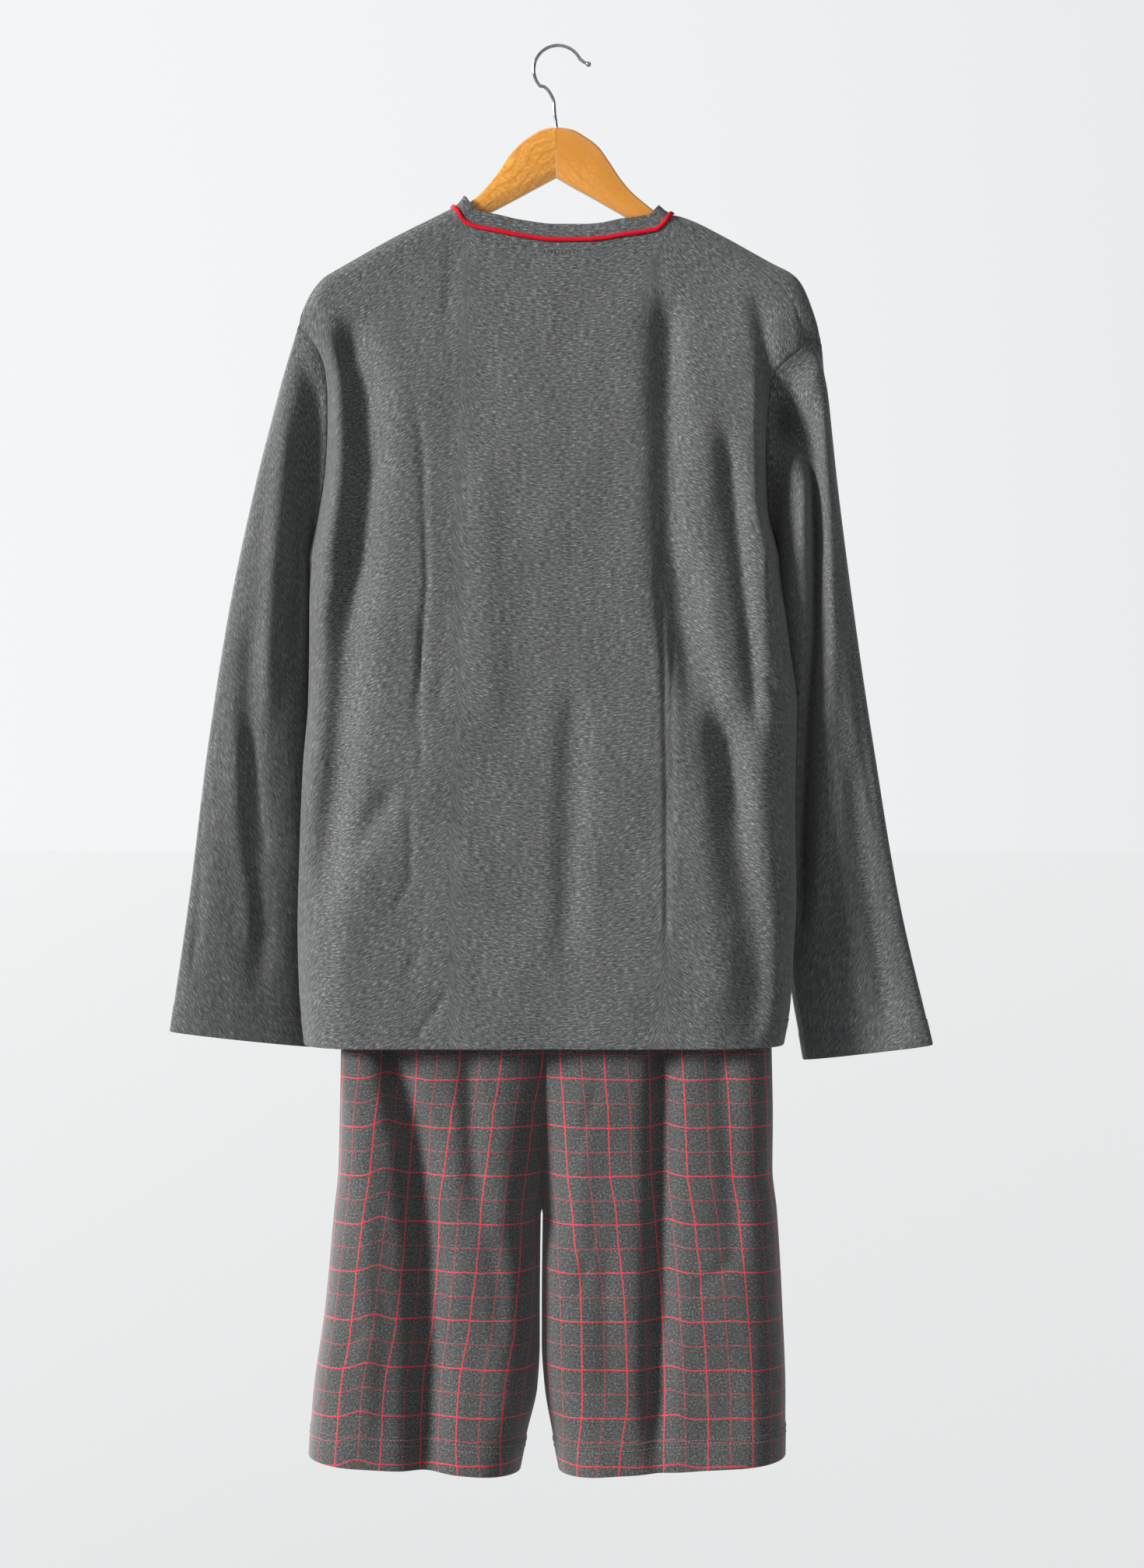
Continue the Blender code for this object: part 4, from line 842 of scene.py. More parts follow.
def torsoShares():
    # shares across the top, with columns of their own at both ends of the neck
    plan = topPlan
    dense = plan["dense"]
    left = spanShares(0, plan["leftNeck"], plan["shoulderColumns"], dense, True, False)
    neck = spanShares(plan["leftNeck"], plan["rightNeck"], plan["neckColumns"], dense, True, True)
    right = spanShares(plan["rightNeck"], 1, plan["shoulderColumns"], dense, False, True)
    return np.concatenate([left, neck[1:-1], right])


def torsoGrid(name, leftLine, rightLine):
    # the back or the front, rows up from the hem, columns towards +X
    plan = topPlan
    face = -1 if name == "back" else 1
    start = plan[name + "Start"]
    shares = torsoShares()
    left, right = leftLine[:, None, :], rightLine[:, None, :]
    x = left[..., 0] + (right[..., 0] - left[..., 0]) * shares
    topX = x[-1]
    radius = plan["crestRadius"] + plan["rightCrest"] * smooth((topX - plan["rightCrestFrom"]) / 0.030)
    crestZ = follow(plan["crest"]["x"], plan["crest"]["z"], topX)
    startAt = follow(start["x"], start["start"], topX)
    bend = radius * math.pi / 2
    armpitAt = crestZ - radius - plan["armpitZ"] + bend
    hemAt = crestZ - radius - plan["hemZ"] + bend
    lower = hemAt + (armpitAt - hemAt) * hemAndUp()[:-1, None]
    upper = startAt + armholeDistances(armpitAt - startAt)[::-1]
    distance = np.concatenate([lower, upper])
    angle = np.clip(distance / radius, -math.pi / 2, math.pi / 2)
    z = crestZ - radius * (1 - np.cos(angle)) - np.maximum(np.abs(distance) - bend, 0)
    depths = plan["depths"]
    pull = follow(depths["z"], depths["pull"], z)
    z = z + (left[..., 2] - z[:, :1]) * np.exp(-(shares / pull) ** 2)
    z = z + (right[..., 2] - z[:, -1:]) * np.exp(-((1 - shares) / pull) ** 2)
    width = x[:, -1:] - x[:, :1]
    openness = smooth((z - plan["armpitZ"] + 0.055) / 0.055) * 0.9
    roll = follow(depths["z"], depths["roll"], z)
    rightRoll = follow(depths["z"], depths["rightRoll"], z)
    fullness = rollIn(shares * width, roll, openness) * rollIn((1 - shares) * width, rightRoll, openness)
    seamY = left[..., 1] + (right[..., 1] - left[..., 1]) * shares
    depth = follow(depths["z"], depths[name], z) * np.sin(angle)
    belowCrest = smooth((distance - plan["foldsFrom"]) / 0.050)
    uneven = foldDepth(x, z, plan[name + "Folds"]) + ripples(x, z, plan["unevenness"], plan[name + "Seed"])
    depth = depth - uneven * belowCrest
    y = seamY * (1 - fullness) + face * depth * fullness
    return np.stack([x, y, z], axis=-1)


def makeTopGrids():
    # the four pieces, and the neck's edge all round with its outward directions
    plan = topPlan
    leftBack = sideLine(plan["leftSide"], plan["leftArmholeBack"])
    leftFront = sideLine(plan["leftSide"], plan["leftArmholeFront"])
    rightBack = sideLine(plan["rightSide"], plan["rightArmholeBack"])
    rightFront = sideLine(plan["rightSide"], plan["rightArmholeFront"])
    back = torsoGrid("back", leftBack, rightBack)
    front = torsoGrid("front", leftFront, rightFront)
    first = plan["shoulderColumns"]
    last = first + plan["neckColumns"]
    for part in (slice(0, first + 1), slice(last, None)):
        front[-1, part] = back[-1, part]
    arm = slice(plan["hemRows"] + plan["lowerRows"], None)
    leftLoop = np.concatenate([leftFront[arm], leftBack[arm][-2::-1]])
    rightLoop = np.concatenate([rightBack[arm], rightFront[arm][-2::-1]])
    grids = {
        "topBack": back,
        "topFront": front[:, ::-1],
        "sleeveLeft": sleeveGrid("left", leftLoop),
        "sleeveRight": sleeveGrid("right", rightLoop),
    }
    neck = slice(first, last)
    seam = np.concatenate([back[-1, neck], front[-1, last:first:-1]])
    normals = sewnNormals(grids)
    out = np.concatenate([normals["topBack"][-1, neck], normals["topFront"][-1, ::-1][last:first:-1]])
    return grids, normals, seam, out


seamPlan = {
    "reach": 0.0016,
    "second": 0.45,            # the fainter dip along the allowance's edge, and where that lies
    "secondAt": 4.2,
    "groove": 0.00035,         # how deep the stitches draw a hem in, and how wide
    "grooveReach": 0.0011,
}


def seamSink(grid, depth, top=0.0):
    # how far the cloth dips beside its sewn sides, and how many times that at a sewn top
    total = np.zeros(grid.shape[:2])
    reach = seamPlan["reach"]
    fromFirst = lineLength(grid, 1)
    fromTop = lineLength(grid[::-1])[::-1]
    for distance, strength in ((fromFirst, 1.0), (fromFirst[:, -1:] - fromFirst, 1.0), (fromTop, top)):
        if strength:
            second = (distance - seamPlan["secondAt"] * reach) / reach
            total = np.maximum(total, strength * np.exp(-(distance / reach) ** 2))
            total = np.maximum(total, seamPlan["second"] * np.exp(-second ** 2))
    return total * depth


def hemStep(grid, plan):
    # extra thickness of the turned-up edge, drawn in where the stitches run
    rise = lineLength(grid)
    thicker = plan["hemExtra"] * smooth((plan["hemHeight"] + 0.0006 - rise) / 0.0012)
    edge = plan["hemExtra"] * 0.9 * smooth(1 - rise / 0.0015)
    for height in plan["stitchHeights"]:
        thicker -= seamPlan["groove"] * np.exp(-((rise - height) / seamPlan["grooveReach"]) ** 2)
    return thicker - edge


def hemStitches(grid, normals, plan):
    # the two rows of stitches that hold a turned-up edge
    thickness = plan["wall"] + plan["hemExtra"]
    lines = [levelLine(grid, normals, height, thickness) for height in plan["stitchHeights"]]
    return [(*line, *plan["stitch"]) for line in lines]


def makeTop():
    print("top")
    plan = topPlan
    grids, normals, seam, out = makeTopGrids()
    jersey = makeJersey()
    runs = []
    for name, grid in grids.items():
        normal = normals[name]
        grid = grid - normal * seamSink(grid, plan["sink"], plan["topSink"])[..., None]
        cloth = clothCoordinates(grid, grid.shape[1] // 2)
        piece = addCloth(name, grid, normal, plan["wall"] + hemStep(grid, plan), jersey, cloth)
        node, width, length, area = plan["flats"][name]
        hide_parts(node)
        runs += hemStitches(grid, normal, plan)
        grids[name] = grid
    runs += shoulderStitches(grids["topBack"], normals["topBack"])
    stitches = addStitches("topStitches", runs, makeThread("greyThread", plan["threadColour"]))
    return (grids["topBack"], normals["topBack"]), seam, out


def lineBelowTop(grid, normals, part, distance):
    # a line on the outer face of some columns, at a distance below their top edge
    return levelLine(grid[::-1, part], normals[::-1, part], distance, topPlan["wall"])


def shoulderStitches(grid, normals):
    # a covering stitch just below each shoulder seam
    first = topPlan["shoulderColumns"]
    last = first + topPlan["neckColumns"]
    below = topPlan["shoulderStitchBelow"]
    parts = (slice(2, first), slice(last + 1, -2))
    return [(*lineBelowTop(grid, normals, part, below), *topPlan["stitch"]) for part in parts]


def neckStitches(grid, normals):
    # the line sewn below the back of the neck, and the short upright stitches at its middle
    plan = neckPlan
    first = topPlan["shoulderColumns"]
    last = first + topPlan["neckColumns"]
    part = slice(first + plan["stitchInset"], last - plan["stitchInset"])
    runs = [(*lineBelowTop(grid, normals, part, plan["stitchBelow"]), *plan["stitch"])]
    upper = lineBelowTop(grid, normals, part, plan["uprightFrom"])
    lower = lineBelowTop(grid, normals, part, plan["uprightTo"])
    low, high = plan["uprightSpan"]
    for x in np.arange(low, high, plan["uprightGap"]):
        ends = np.array([pointAt(x, points[:, 0], points) for points, _ in (upper, lower)])
        way = pointAt(x, upper[0][:, 0], upper[1])
        stitch = float(np.linalg.norm(ends[1] - ends[0])) * plan["uprightShare"]
        runs.append((ends, np.array([way, way]), stitch, 0.0))
    return runs


# the sleeves

sleeveColumns = "share outerX outerY outerZ innerX innerY innerZ half"
sleevePlan = {
    "rows": 186,
    "cuff": (16, 0.963),       # rows in the turned-up edge, and the share where it ends
    "head": (24, 0.05),        # rows at the armhole, and the share up to which they stand close
    "unevenness": 0.0010,
    "leftSeed": 21,
    "rightSeed": 34,
    "roundness": 0.8,          # 1 is an oval, less is flatter faces
    "calmHead": 0.014,         # share of the sleeve beside the armhole without folds
    "frontDents": (0.45, 0.10, 0.004),     # place across, width across and depth
    "armholeBlend": 0.12,      # share of the sleeve over which the armhole's shape fades out
    "left": rowsOf(
        sleeveColumns,
        (0, -223.2, 0, -239, -216.5, 18, -438, 10), (0.01, -224.6, 1, -245, -218.2, 20, -442, 11),
        (0.04, -232.5, 3, -270, -216.8, 24, -459, 18), (0.09, -242, 5, -305, -214, 28, -478, 23),
        (0.2, -259.5, 8, -372, -212.2, 34, -524, 26), (0.4, -284.5, 10, -490, -211.8, 38, -608, 25),
        (0.6, -303, 12, -609, -212, 41, -692, 22), (0.8, -318, 14, -728, -212, 47, -776, 17),
        (1, -335.4, 16, -848, -213.5, 47, -864, 16)),
    "right": rowsOf(
        sleeveColumns,
        (0, 226.2, 2, -253.5, 192.5, 18, -438, 10), (0.01, 227.2, 2, -258.5, 194.3, 18, -442, 12),
        (0.04, 229.2, -1, -276.5, 192.5, 13, -459, 25), (0.09, 232.2, -1, -305, 191, 13, -478, 31),
        (0.2, 239.3, 2, -371, 193.5, 20, -525, 34), (0.4, 254.9, 8, -489, 197.5, 31, -612, 31),
        (0.6, 273.6, 11, -612, 198.5, 38, -700, 25), (0.8, 294.6, 14, -735, 201.5, 47, -787, 17),
        (1, 323.7, 16, -859.6, 215, 47, -875, 16)),
    # folds on the side seen from behind
    "leftFolds": (
        (12, 3.8, 0, ((-221.5, -238), (-215.5, -250), (-211.4, -270), (-207.2, -288), (-204.5, -308),
            (-203.3, -328), (-203, -350))),
        (-9, 5.2, 0, ((-223, -236), (-220, -260), (-216, -288), (-211.8, -310), (-208.5, -332),
            (-208.5, -380), (-212, -430))),
        (5, 5.5, 0, ((-224, -245), (-221.5, -291.3), (-221.5, -330), (-222.5, -380), (-223.5, -440),
            (-226, -500), (-228, -560))),
        (-5, 8.5, 0, ((-226.2, -246), (-230.6, -296), (-235.4, -344), (-240, -390), (-245, -450),
            (-249, -520), (-250, -600))),
        (4.2, 10, 0, ((-263, -480), (-266, -570), (-266, -680), (-258, -760), (-262, -840))),
        (-2.8, 8, 0, ((-277, -560), (-276, -660), (-268, -720), (-263, -800))),
        (2.6, 6, 0, ((-267, -570), (-259, -660), (-251, -710))),
        (1.4, 4, 0, ((-307, -680), (-311, -750), (-316, -810))),
        (1.8, 6.5, 0, ((-240, -440), (-230, -470), (-222, -500)))),
    "rightFolds": (
        (26, 6.2, 0, ((208, -215), (208.5, -262), (212.4, -291), (215.7, -320), (219.5, -378),
            (221.5, -430), (222, -510), (218, -575), (215, -656), (211, -800))),
        (-2, 6, 0, ((232, -420), (236, -520), (234, -640))),
        (4.4, 8.5, 0, ((252, -600), (256, -660), (266, -730), (279, -800), (286, -860))),
        (1.6, 4, 0, ((246, -480), (262, -600), (277, -690))),
        (-1.6, 7, 0, ((240, -600), (244, -700), (250, -790)))),
}


def sleeveShares():
    # from the cuff up, close together in the turned-up edge and at the armhole
    cuffRows, cuffShare = sleevePlan["cuff"]
    headRows, headShare = sleevePlan["head"]
    cuff = np.linspace(1.0, cuffShare, cuffRows + 1)
    arm = np.linspace(cuff[-1], headShare, sleevePlan["rows"] - cuffRows - headRows)
    head = headShare * (1 - np.linspace(0, 1, headRows + 1) ** 0.8)
    return np.concatenate([cuff[:-1], arm[:-1], head])


def sleeveGrid(side, armholeLoop):
    # columns go from the underarm seam round to it again, the left over its front first
    plan = sleevePlan
    rows = plan[side]
    firstFace = 1 if side == "left" else -1
    length = lineLength(armholeLoop)
    around = (np.linspace(0, 1, len(armholeLoop)) + length / length[-1]) / 2
    across = (1 - np.cos(2 * math.pi * around)) / 2
    swing = np.sin(2 * math.pi * around)
    bulge = np.sign(swing) * np.abs(swing) ** plan["roundness"]
    share = sleeveShares()[:, None]
    ends = {name: follow(rows["share"], rows[name], share) for name in rows}
    points = []
    for axis in "XYZ":
        inner, outer = ends["inner" + axis], ends["outer" + axis]
        points.append(inner + (outer - inner) * across)
    x, y, z = points
    y = y + firstFace * ends["half"] * bulge
    onBack = smooth(-firstFace * bulge * 6)
    onFront = smooth(firstFace * bulge * 2)
    calm = smooth(share / plan["calmHead"])
    y = y + foldDepth(x, z, plan[side + "Folds"]) * onBack * calm
    y = y + ripples(x, z, plan["unevenness"], plan[side + "Seed"]) * (onBack - onFront) * calm
    place, width, depth = plan["frontDents"]
    y = y - onFront * calm * depth * np.exp(-((across - place) / width) ** 2) * np.sin(share * 9) ** 2
    grid = np.stack([x, y, z], axis=-1)
    fade = np.clip(1 - share / plan["armholeBlend"], 0, 1) ** 4
    return grid + (armholeLoop - grid[-1]) * fade[..., None]


# neckband and piping

neckPlan = {
    "height": 0.0138,
    "flatHeight": 0.0145,
    "foot": 0.0004,            # the gap above the neck seam
    "endsLower": 0.10,         # how much lower the band is on the shoulders
    "endRise": 0.22,           # its rise towards the neck there
    "endReach": (3.0, 2.2, 7.0),       # columns beside a shoulder that keep flat, turn in and stand lower
    "lean": 0.0025,
    "leanTo": 0.035,           # how far from the middle the back and front lean
    "tilt": 0.15,
    "clear": 0.0078,           # the band stands at least this far before and behind the hanger
    "rows": 12,
    "rollAtTop": 0.0006,
    "rollFrom": 0.82,          # share of the height where the roll starts
    "edgeShare": 0.55,         # the last row's share of the thickness
    "pipingHalfWidth": 0.0019,
    "pipingHalfDepth": 0.0011,
    "stitchBelow": 0.0092,
    "stitchInset": 9,          # columns left free at each end of the sewn line
    "stitch": (0.0015, 0.0010),
    "thread": (0.00030, 0.00005),      # the sewn line's radius and lift
    # the neck thread's dark colour is painted shade of the stitch holes
    "threadColour": (0.030, 0.031, 0.033),
    "uprightFrom": 0.0095,
    "uprightTo": 0.0135,
    "uprightSpan": (-0.012, 0.014),
    "uprightGap": 0.0031,
    "uprightShare": 0.98,      # share of the gap between the lines that a stitch takes
}


def neckBand(seam, out):
    # the band's points and outward directions, rows up from the seam, and each row's share of its height
    plan = neckPlan
    ahead = unit(np.roll(seam, -1, axis=0) - np.roll(seam, 1, axis=0))
    ends = np.array([0, topPlan["neckColumns"]])
    around = np.arange(len(seam))
    fromEnd = np.min(np.abs(around[:, None] - np.append(ends, len(seam))), axis=1)
    flatEnd, turnedEnd, lowEnd = (np.exp(-(fromEnd / reach) ** 2)[:, None] for reach in plan["endReach"])
    upright = unit(out * (1, 1, plan["tilt"]) * (1 - flatEnd) + out * flatEnd)
    up = np.cross(upright, ahead)
    for _ in range(5):
        up = (np.roll(up, 1, axis=0) + 2 * up + np.roll(up, -1, axis=0)) / 4
    inward = np.stack([-np.sign(seam[:, 0]), 0 * around, 0 * around + plan["endRise"]], axis=1)
    up = unit(unit(up) * (1 - turnedEnd) + unit(inward) * turnedEnd)
    lower = 1 - plan["endsLower"] * lowEnd
    lean = plan["lean"] * (1 - smooth((np.abs(seam[:, :1]) - plan["leanTo"]) / 0.020))
    shares = np.linspace(0, 1, plan["rows"] + 1)
    foot = plan["foot"]
    band = np.stack([seam + up * (foot + (plan["height"] * lower - foot) * share) - out * lean * share ** 2
                     for share in shares])
    clear = plan["clear"] * (1 - flatEnd[:, 0])
    side = np.sign(seam[:, 1])
    for row, share in zip(band, shares):
        row[:, 1] = side * np.maximum(side * row[:, 1], clear * smooth(share * 3))
    turned = smooth(shares * 4)[:, None, None]
    return band, unit(upright[None] * turned + out[None] * (1 - turned)), shares


def makeNeck(seam, out, backCloth):
    print("neckband and piping")
    plan = neckPlan
    # thread painted dark as the shade in its stitch holes
    thread = makeThread("stitchHoleShadeThread", plan["threadColour"])
    out = unit(out)
    band, bandOut, shares = neckBand(seam, out)
    thickness = np.full(band.shape[:2], topPlan["wall"])
    thickness += plan["rollAtTop"] * smooth((shares - plan["rollFrom"]) / 0.12)[:, None]
    thickness[-1] *= plan["edgeShare"]
    down = plan["height"] * (1 - shares[:, None])
    cloth = np.stack(np.broadcast_arrays(roundLength(seam), down), axis=-1)
    sewn = addStitches("neckStitches", neckStitches(*backCloth), thread, *plan["thread"])
    piece = addCloth("neckRib", band, bandOut, thickness, makeJersey("heatherRib"), cloth, closed=True)
    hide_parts("neckband")
    path = seam + out * (topPlan["wall"] / 2 + plan["pipingHalfDepth"] * 0.9)
    side = np.cross(out, unit(np.roll(seam, -1, axis=0) - np.roll(seam, 1, axis=0)))
    piping = addCord("neckPiping", path, out, side, plan["pipingHalfDepth"], plan["pipingHalfWidth"],
                     makePipingRed())
    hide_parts("neck_piping")


def addCord(name, path, out, side, halfDepth, halfWidth, material):
    # a closed round cord along a path
    turns = np.linspace(0, 2 * math.pi, 11)[:-1]
    rings = [path + out * halfDepth * math.cos(turn) + side * halfWidth * math.sin(turn) for turn in turns]
    vertices = np.stack(rings, axis=1).reshape(-1, 3)
    cloth = np.stack(np.broadcast_arrays(roundLength(path)[:, None], turns * halfWidth), axis=-1)
    faces = tubeFaces(len(path), len(turns), closed=True)
    return addMesh(name, vertices, faces, material, cloth.reshape(-1, 2))


# the shorts

shortsPlan = {
    "wall": 0.0014,
    "hemExtra": 0.0013,
    "hemHeight": 0.0285,
    "stitchHeights": (0.0210, 0.0262),
    "stitch": (0.0024, 0.0006),
    "threadColour": (0.17, 0.17, 0.18),
    "sink": 0.0006,
    "flat": (0.255, 0.575),    # width and length of each quarter before sewing
    "flatArea": 0.128,
    "quarters": (              # name, node, side (-1 is the left), face (-1 is the back), unevenness
        ("shortsBackLeft", "shorts_back_left", -1, -1, 5),
        ("shortsBackRight", "shorts_back_right", 1, -1, 6),
        ("shortsFrontLeft", "shorts_front_left", -1, 1, 7),
        ("shortsFrontRight", "shorts_front_right", 1, 1, 9)),
    "waistZ": -0.662,
    "crotchZ": -1.000,
    "hemZ": -1.214,
    "hemSlant": 0.012,
    "unevenness": 0.0011,
    "columns": 84,
    "hemRows": 18,
    "legRows": 46,
    "bodyRows": 66,
    "outseamY": 0.004,
    "inseamY": 0.004,
    "waistbandHeight": 0.035,
    "waistbandWall": 0.0030,
    "waistbandFlat": (0.78, 0.035),
    "pleatHeight": 0.00055,
    "pleats": ((0.0105, 0, 0.6), (0.0163, 1.1, 0.4)),      # pitch, start and share
    "gatherDepth": 0.0022,
    "gatherLength": 0.16,
    "closeSides": 0.6,         # 0 is even columns, 1 crowds them at the sides
    "rolls": (0.040, 0.038),   # width of the rounded side at the outseam and the inseam
    "edges": rowsOf(
        "z left right middle back front backRise frontRise",
        (-662, -185, 180, -6, 25, 25, 24, 24), (-760, -186, 181.5, -8, 27, 27, 22, 24),
        (-860, -187, 184, -10, 29, 30, 15, 20), (-920, -188, 185, -12, 34, 34, 8, 15),
        (-964, -188.9, 184.5, -13, 37, 37, 2, 8), (-1000, -192.5, 188.3, -14, 39, 39, -4, 4),
        (-1085, -200.3, 193, -14.9, 42, 42, 0, 0), (-1160, -210.4, 195.6, -14.9, 44, 44, 0, 0),
        (-1214, -213.9, 195, -14.9, 45, 45, 0, 0)),
    "inseamSpread": rowsOf(
        "z left right",
        (-1000, 0.9, 0.9), (-1110, 0.9, 0.9), (-1146, 3, 3.4), (-1180, 11, 9.5), (-1214, 18, 16)),
    "backFolds": (
        (20, 16.5, 0, ((-148, -760), (-140, -860), (-122, -931), (-111, -1031), (-110, -1130),
            (-114, -1300))),
        (-3, 11, 0, ((-176, -880), (-166, -980), (-160, -1100), (-164, -1230))),
        (6, 9.5, 0, ((-66, -750), (-76, -860), (-72, -950), (-66, -1020))),
        (15, 12, 0, ((94, -760), (89, -880), (87, -1000), (85, -1120), (84, -1250))),
        (4.5, 11, 0, ((140, -790), (142, -880), (148, -980), (152, -1060))),
        (1.8, 5, 0, ((12, -960), (24, -920), (36, -885))),
        (1.8, 5, 0, ((14, -1072), (20, -1055), (26, -1030))),
        (2.2, 6, 0, ((112, -1066), (134, -1048), (158, -1030))),
        (2.2, 6, 0, ((-188, -1130), (-176, -1112), (-160, -1088))),
        (1.6, 5, 0, ((-110, -890), (-100, -910), (-92, -936))),
        (1.4, 4.5, 0, ((-122, -868), (-117, -878), (-112, -884))),
        (2, 8, 0, ((-60, -1010), (-50, -1060), (-52, -1120))),
        (2, 7.5, 0, ((46, -1010), (40, -1070), (44, -1150)))),
    "frontFolds": (
        (8.5, 14, 0, ((-130, -750), (-126, -900), (-120, -1060), (-124, -1240))),
        (8.5, 14, 0, ((105, -750), (100, -900), (96, -1060), (100, -1240))),
        (3, 9, 0, ((-60, -800), (-52, -900), (-40, -990))),
        (3, 9, 0, ((50, -800), (40, -900), (26, -990))),
        (2, 6, 0, ((-180, -1120), (-160, -1090), (-140, -1070))),
        (2, 6, 0, ((130, -1060), (150, -1040), (175, -1030)))),
    # narrow gathers under the waistband: place across a panel, depth, width, length down
    "gathers": (
        (0.10, 0.0022, 0.0040, 0.10), (0.19, 0.0030, 0.0048, 0.16), (0.30, 0.0020, 0.0040, 0.09),
        (0.41, 0.0028, 0.0050, 0.14), (0.53, 0.0024, 0.0042, 0.11), (0.64, 0.0030, 0.0050, 0.17),
        (0.76, 0.0020, 0.0040, 0.09), (0.87, 0.0026, 0.0046, 0.13)),
}


def shortsRows():
    plan = shortsPlan
    hemTop = plan["hemZ"] + plan["hemHeight"]
    return np.concatenate([
        np.linspace(plan["hemZ"], hemTop, plan["hemRows"] + 1)[:-1],
        np.linspace(hemTop, plan["crotchZ"], plan["legRows"] + 1)[:-1],
        np.linspace(plan["crotchZ"], plan["waistZ"], plan["bodyRows"] + 1),
    ])[:, None]


def shortsGrid(leg, face, seed):
    # one quarter of the shorts; leg -1 is the left, face -1 the back; columns towards +X
    plan = shortsPlan
    outerName = "left" if leg < 0 else "right"
    faceName = "back" if face < 0 else "front"
    z = shortsRows()
    edges = plan["edges"]
    at = {name: follow(edges["z"], edges[name], z) for name in edges}
    outerX = at[outerName]
    spread = plan["inseamSpread"]
    below = z < plan["crotchZ"] - 1e-6
    innerX = at["middle"] + leg * np.where(below, follow(spread["z"], spread[outerName], z), 0)
    atCrotch = np.isclose(z, plan["crotchZ"])
    riseY = np.where(below | atCrotch, plan["inseamY"], face * at[faceName + "Rise"])
    even = np.linspace(0, 1, plan["columns"] + 1)
    inward = (1 - np.cos(math.pi * even)) / 2 * plan["closeSides"] + even * (1 - plan["closeSides"])
    x = outerX + (innerX - outerX) * inward
    width = np.abs(innerX - outerX)
    openness = smooth((z - plan["crotchZ"] + 0.05) / 0.05) * 0.8
    outerRoll, innerRoll = plan["rolls"]
    fullness = rollIn(inward * width, outerRoll, 0) * rollIn((1 - inward) * width, innerRoll, openness)
    seamY = plan["outseamY"] + (riseY - plan["outseamY"]) * inward
    dents = foldDepth(x, z, plan[faceName + "Folds"])
    depth = at[faceName] - dents - ripples(x, z, plan["unevenness"], seed)
    nearWaist = smooth((z - plan["waistZ"]) / plan["gatherLength"] + 1)
    depth = depth + np.sin(6 * math.pi * inward) * plan["gatherDepth"] * nearWaist
    for place, gatherDepth, gatherWidth, length in plan["gathers"]:
        place = place + 0.012 * math.sin(place * 50 + seed)
        fade = smooth(1 - (plan["waistZ"] - z) / (length * (0.8 + 0.4 * math.sin(place * 31 + seed) ** 2)))
        depth = depth - gatherDepth * fade * np.exp(-((inward - place) * width / gatherWidth) ** 2)
    y = seamY * (1 - fullness) + face * depth * fullness
    slant = smooth((plan["crotchZ"] - z) / 0.20) * plan["hemSlant"] * (inward - 0.3)
    grid = np.stack([x, y, z - slant], axis=-1)
    return grid if leg < 0 else grid[:, ::-1]


def makeShorts():
    print("shorts")
    plan = shortsPlan
    grids = {}
    for name, node, leg, face, seed in plan["quarters"]:
        grid = shortsGrid(leg, face, seed)
        grids[name] = grid[:, ::-1] if face > 0 else grid
    normals = sewnNormals(grids)
    crotchRow = plan["hemRows"] + plan["legRows"]
    flannel = makeFlannel()
    runs = []
    for name, node, leg, face, seed in plan["quarters"]:
        grid, normal = grids[name], normals[name]
        innerLast = leg * face > 0      # whether the inseam is the last column
        normal[crotchRow, -1 if innerLast else 0] = (0, 0, -1)
        drawn = grid - normal * seamSink(grid, plan["sink"])[..., None]
        cloth = clothCoordinates(grid, 0 if innerLast else grid.shape[1] - 1)
        piece = addCloth(name, drawn, normal, plan["wall"] + hemStep(drawn, plan), flannel, cloth)
        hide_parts(node)
        runs += hemStitches(drawn, normal, plan)
    stitches = addStitches("shortsStitches", runs, makeThread("darkGreyThread", plan["threadColour"]))
    makeWaistband(grids, normals, flannel)


def makeWaistband(grids, normals, flannel):
    plan = shortsPlan
    order = ("shortsBackLeft", "shortsBackRight", "shortsFrontRight", "shortsFrontLeft")
    ring = np.concatenate([grids[name][-1, :-1] for name in order])
    out = np.concatenate([normals[name][-1, :-1] for name in order])
    out[:, 2] = 0
    out = unit(out)
    levels = np.linspace(0.0003, plan["waistbandHeight"], 15)
    shares = levels / plan["waistbandHeight"]
    length = roundLength(ring)
    turns = 2 * math.pi * length
    pleats = sum(np.sin(turns / pitch + start) * share for pitch, start, share in plan["pleats"])
    ridge = pleats * plan["pleatHeight"]
    band = []
    for level, share in zip(levels, shares):
        channels = math.exp(-((share - 0.06) / 0.07) ** 2) + math.exp(-((share - 0.94) / 0.07) ** 2)
        band.append(ring + (0, 0, level) + out * (ridge * (1 - 0.7 * channels))[:, None])
    puff = 1 - 0.35 * np.exp(-((shares - 0.08) / 0.06) ** 2) - 0.55 * np.exp(-((shares - 1.0) / 0.05) ** 2)
    thickness = plan["waistbandWall"] * np.repeat(puff[:, None], len(ring), axis=1)
    cloth = np.stack(np.broadcast_arrays(length * 1.25, -levels[:, None]), axis=-1)
    ways = np.repeat(out[None], len(levels), axis=0)
    piece = addCloth("elasticWaist", np.stack(band), ways, thickness, flannel, cloth, closed=True)
    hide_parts("waistband")


# the hanger

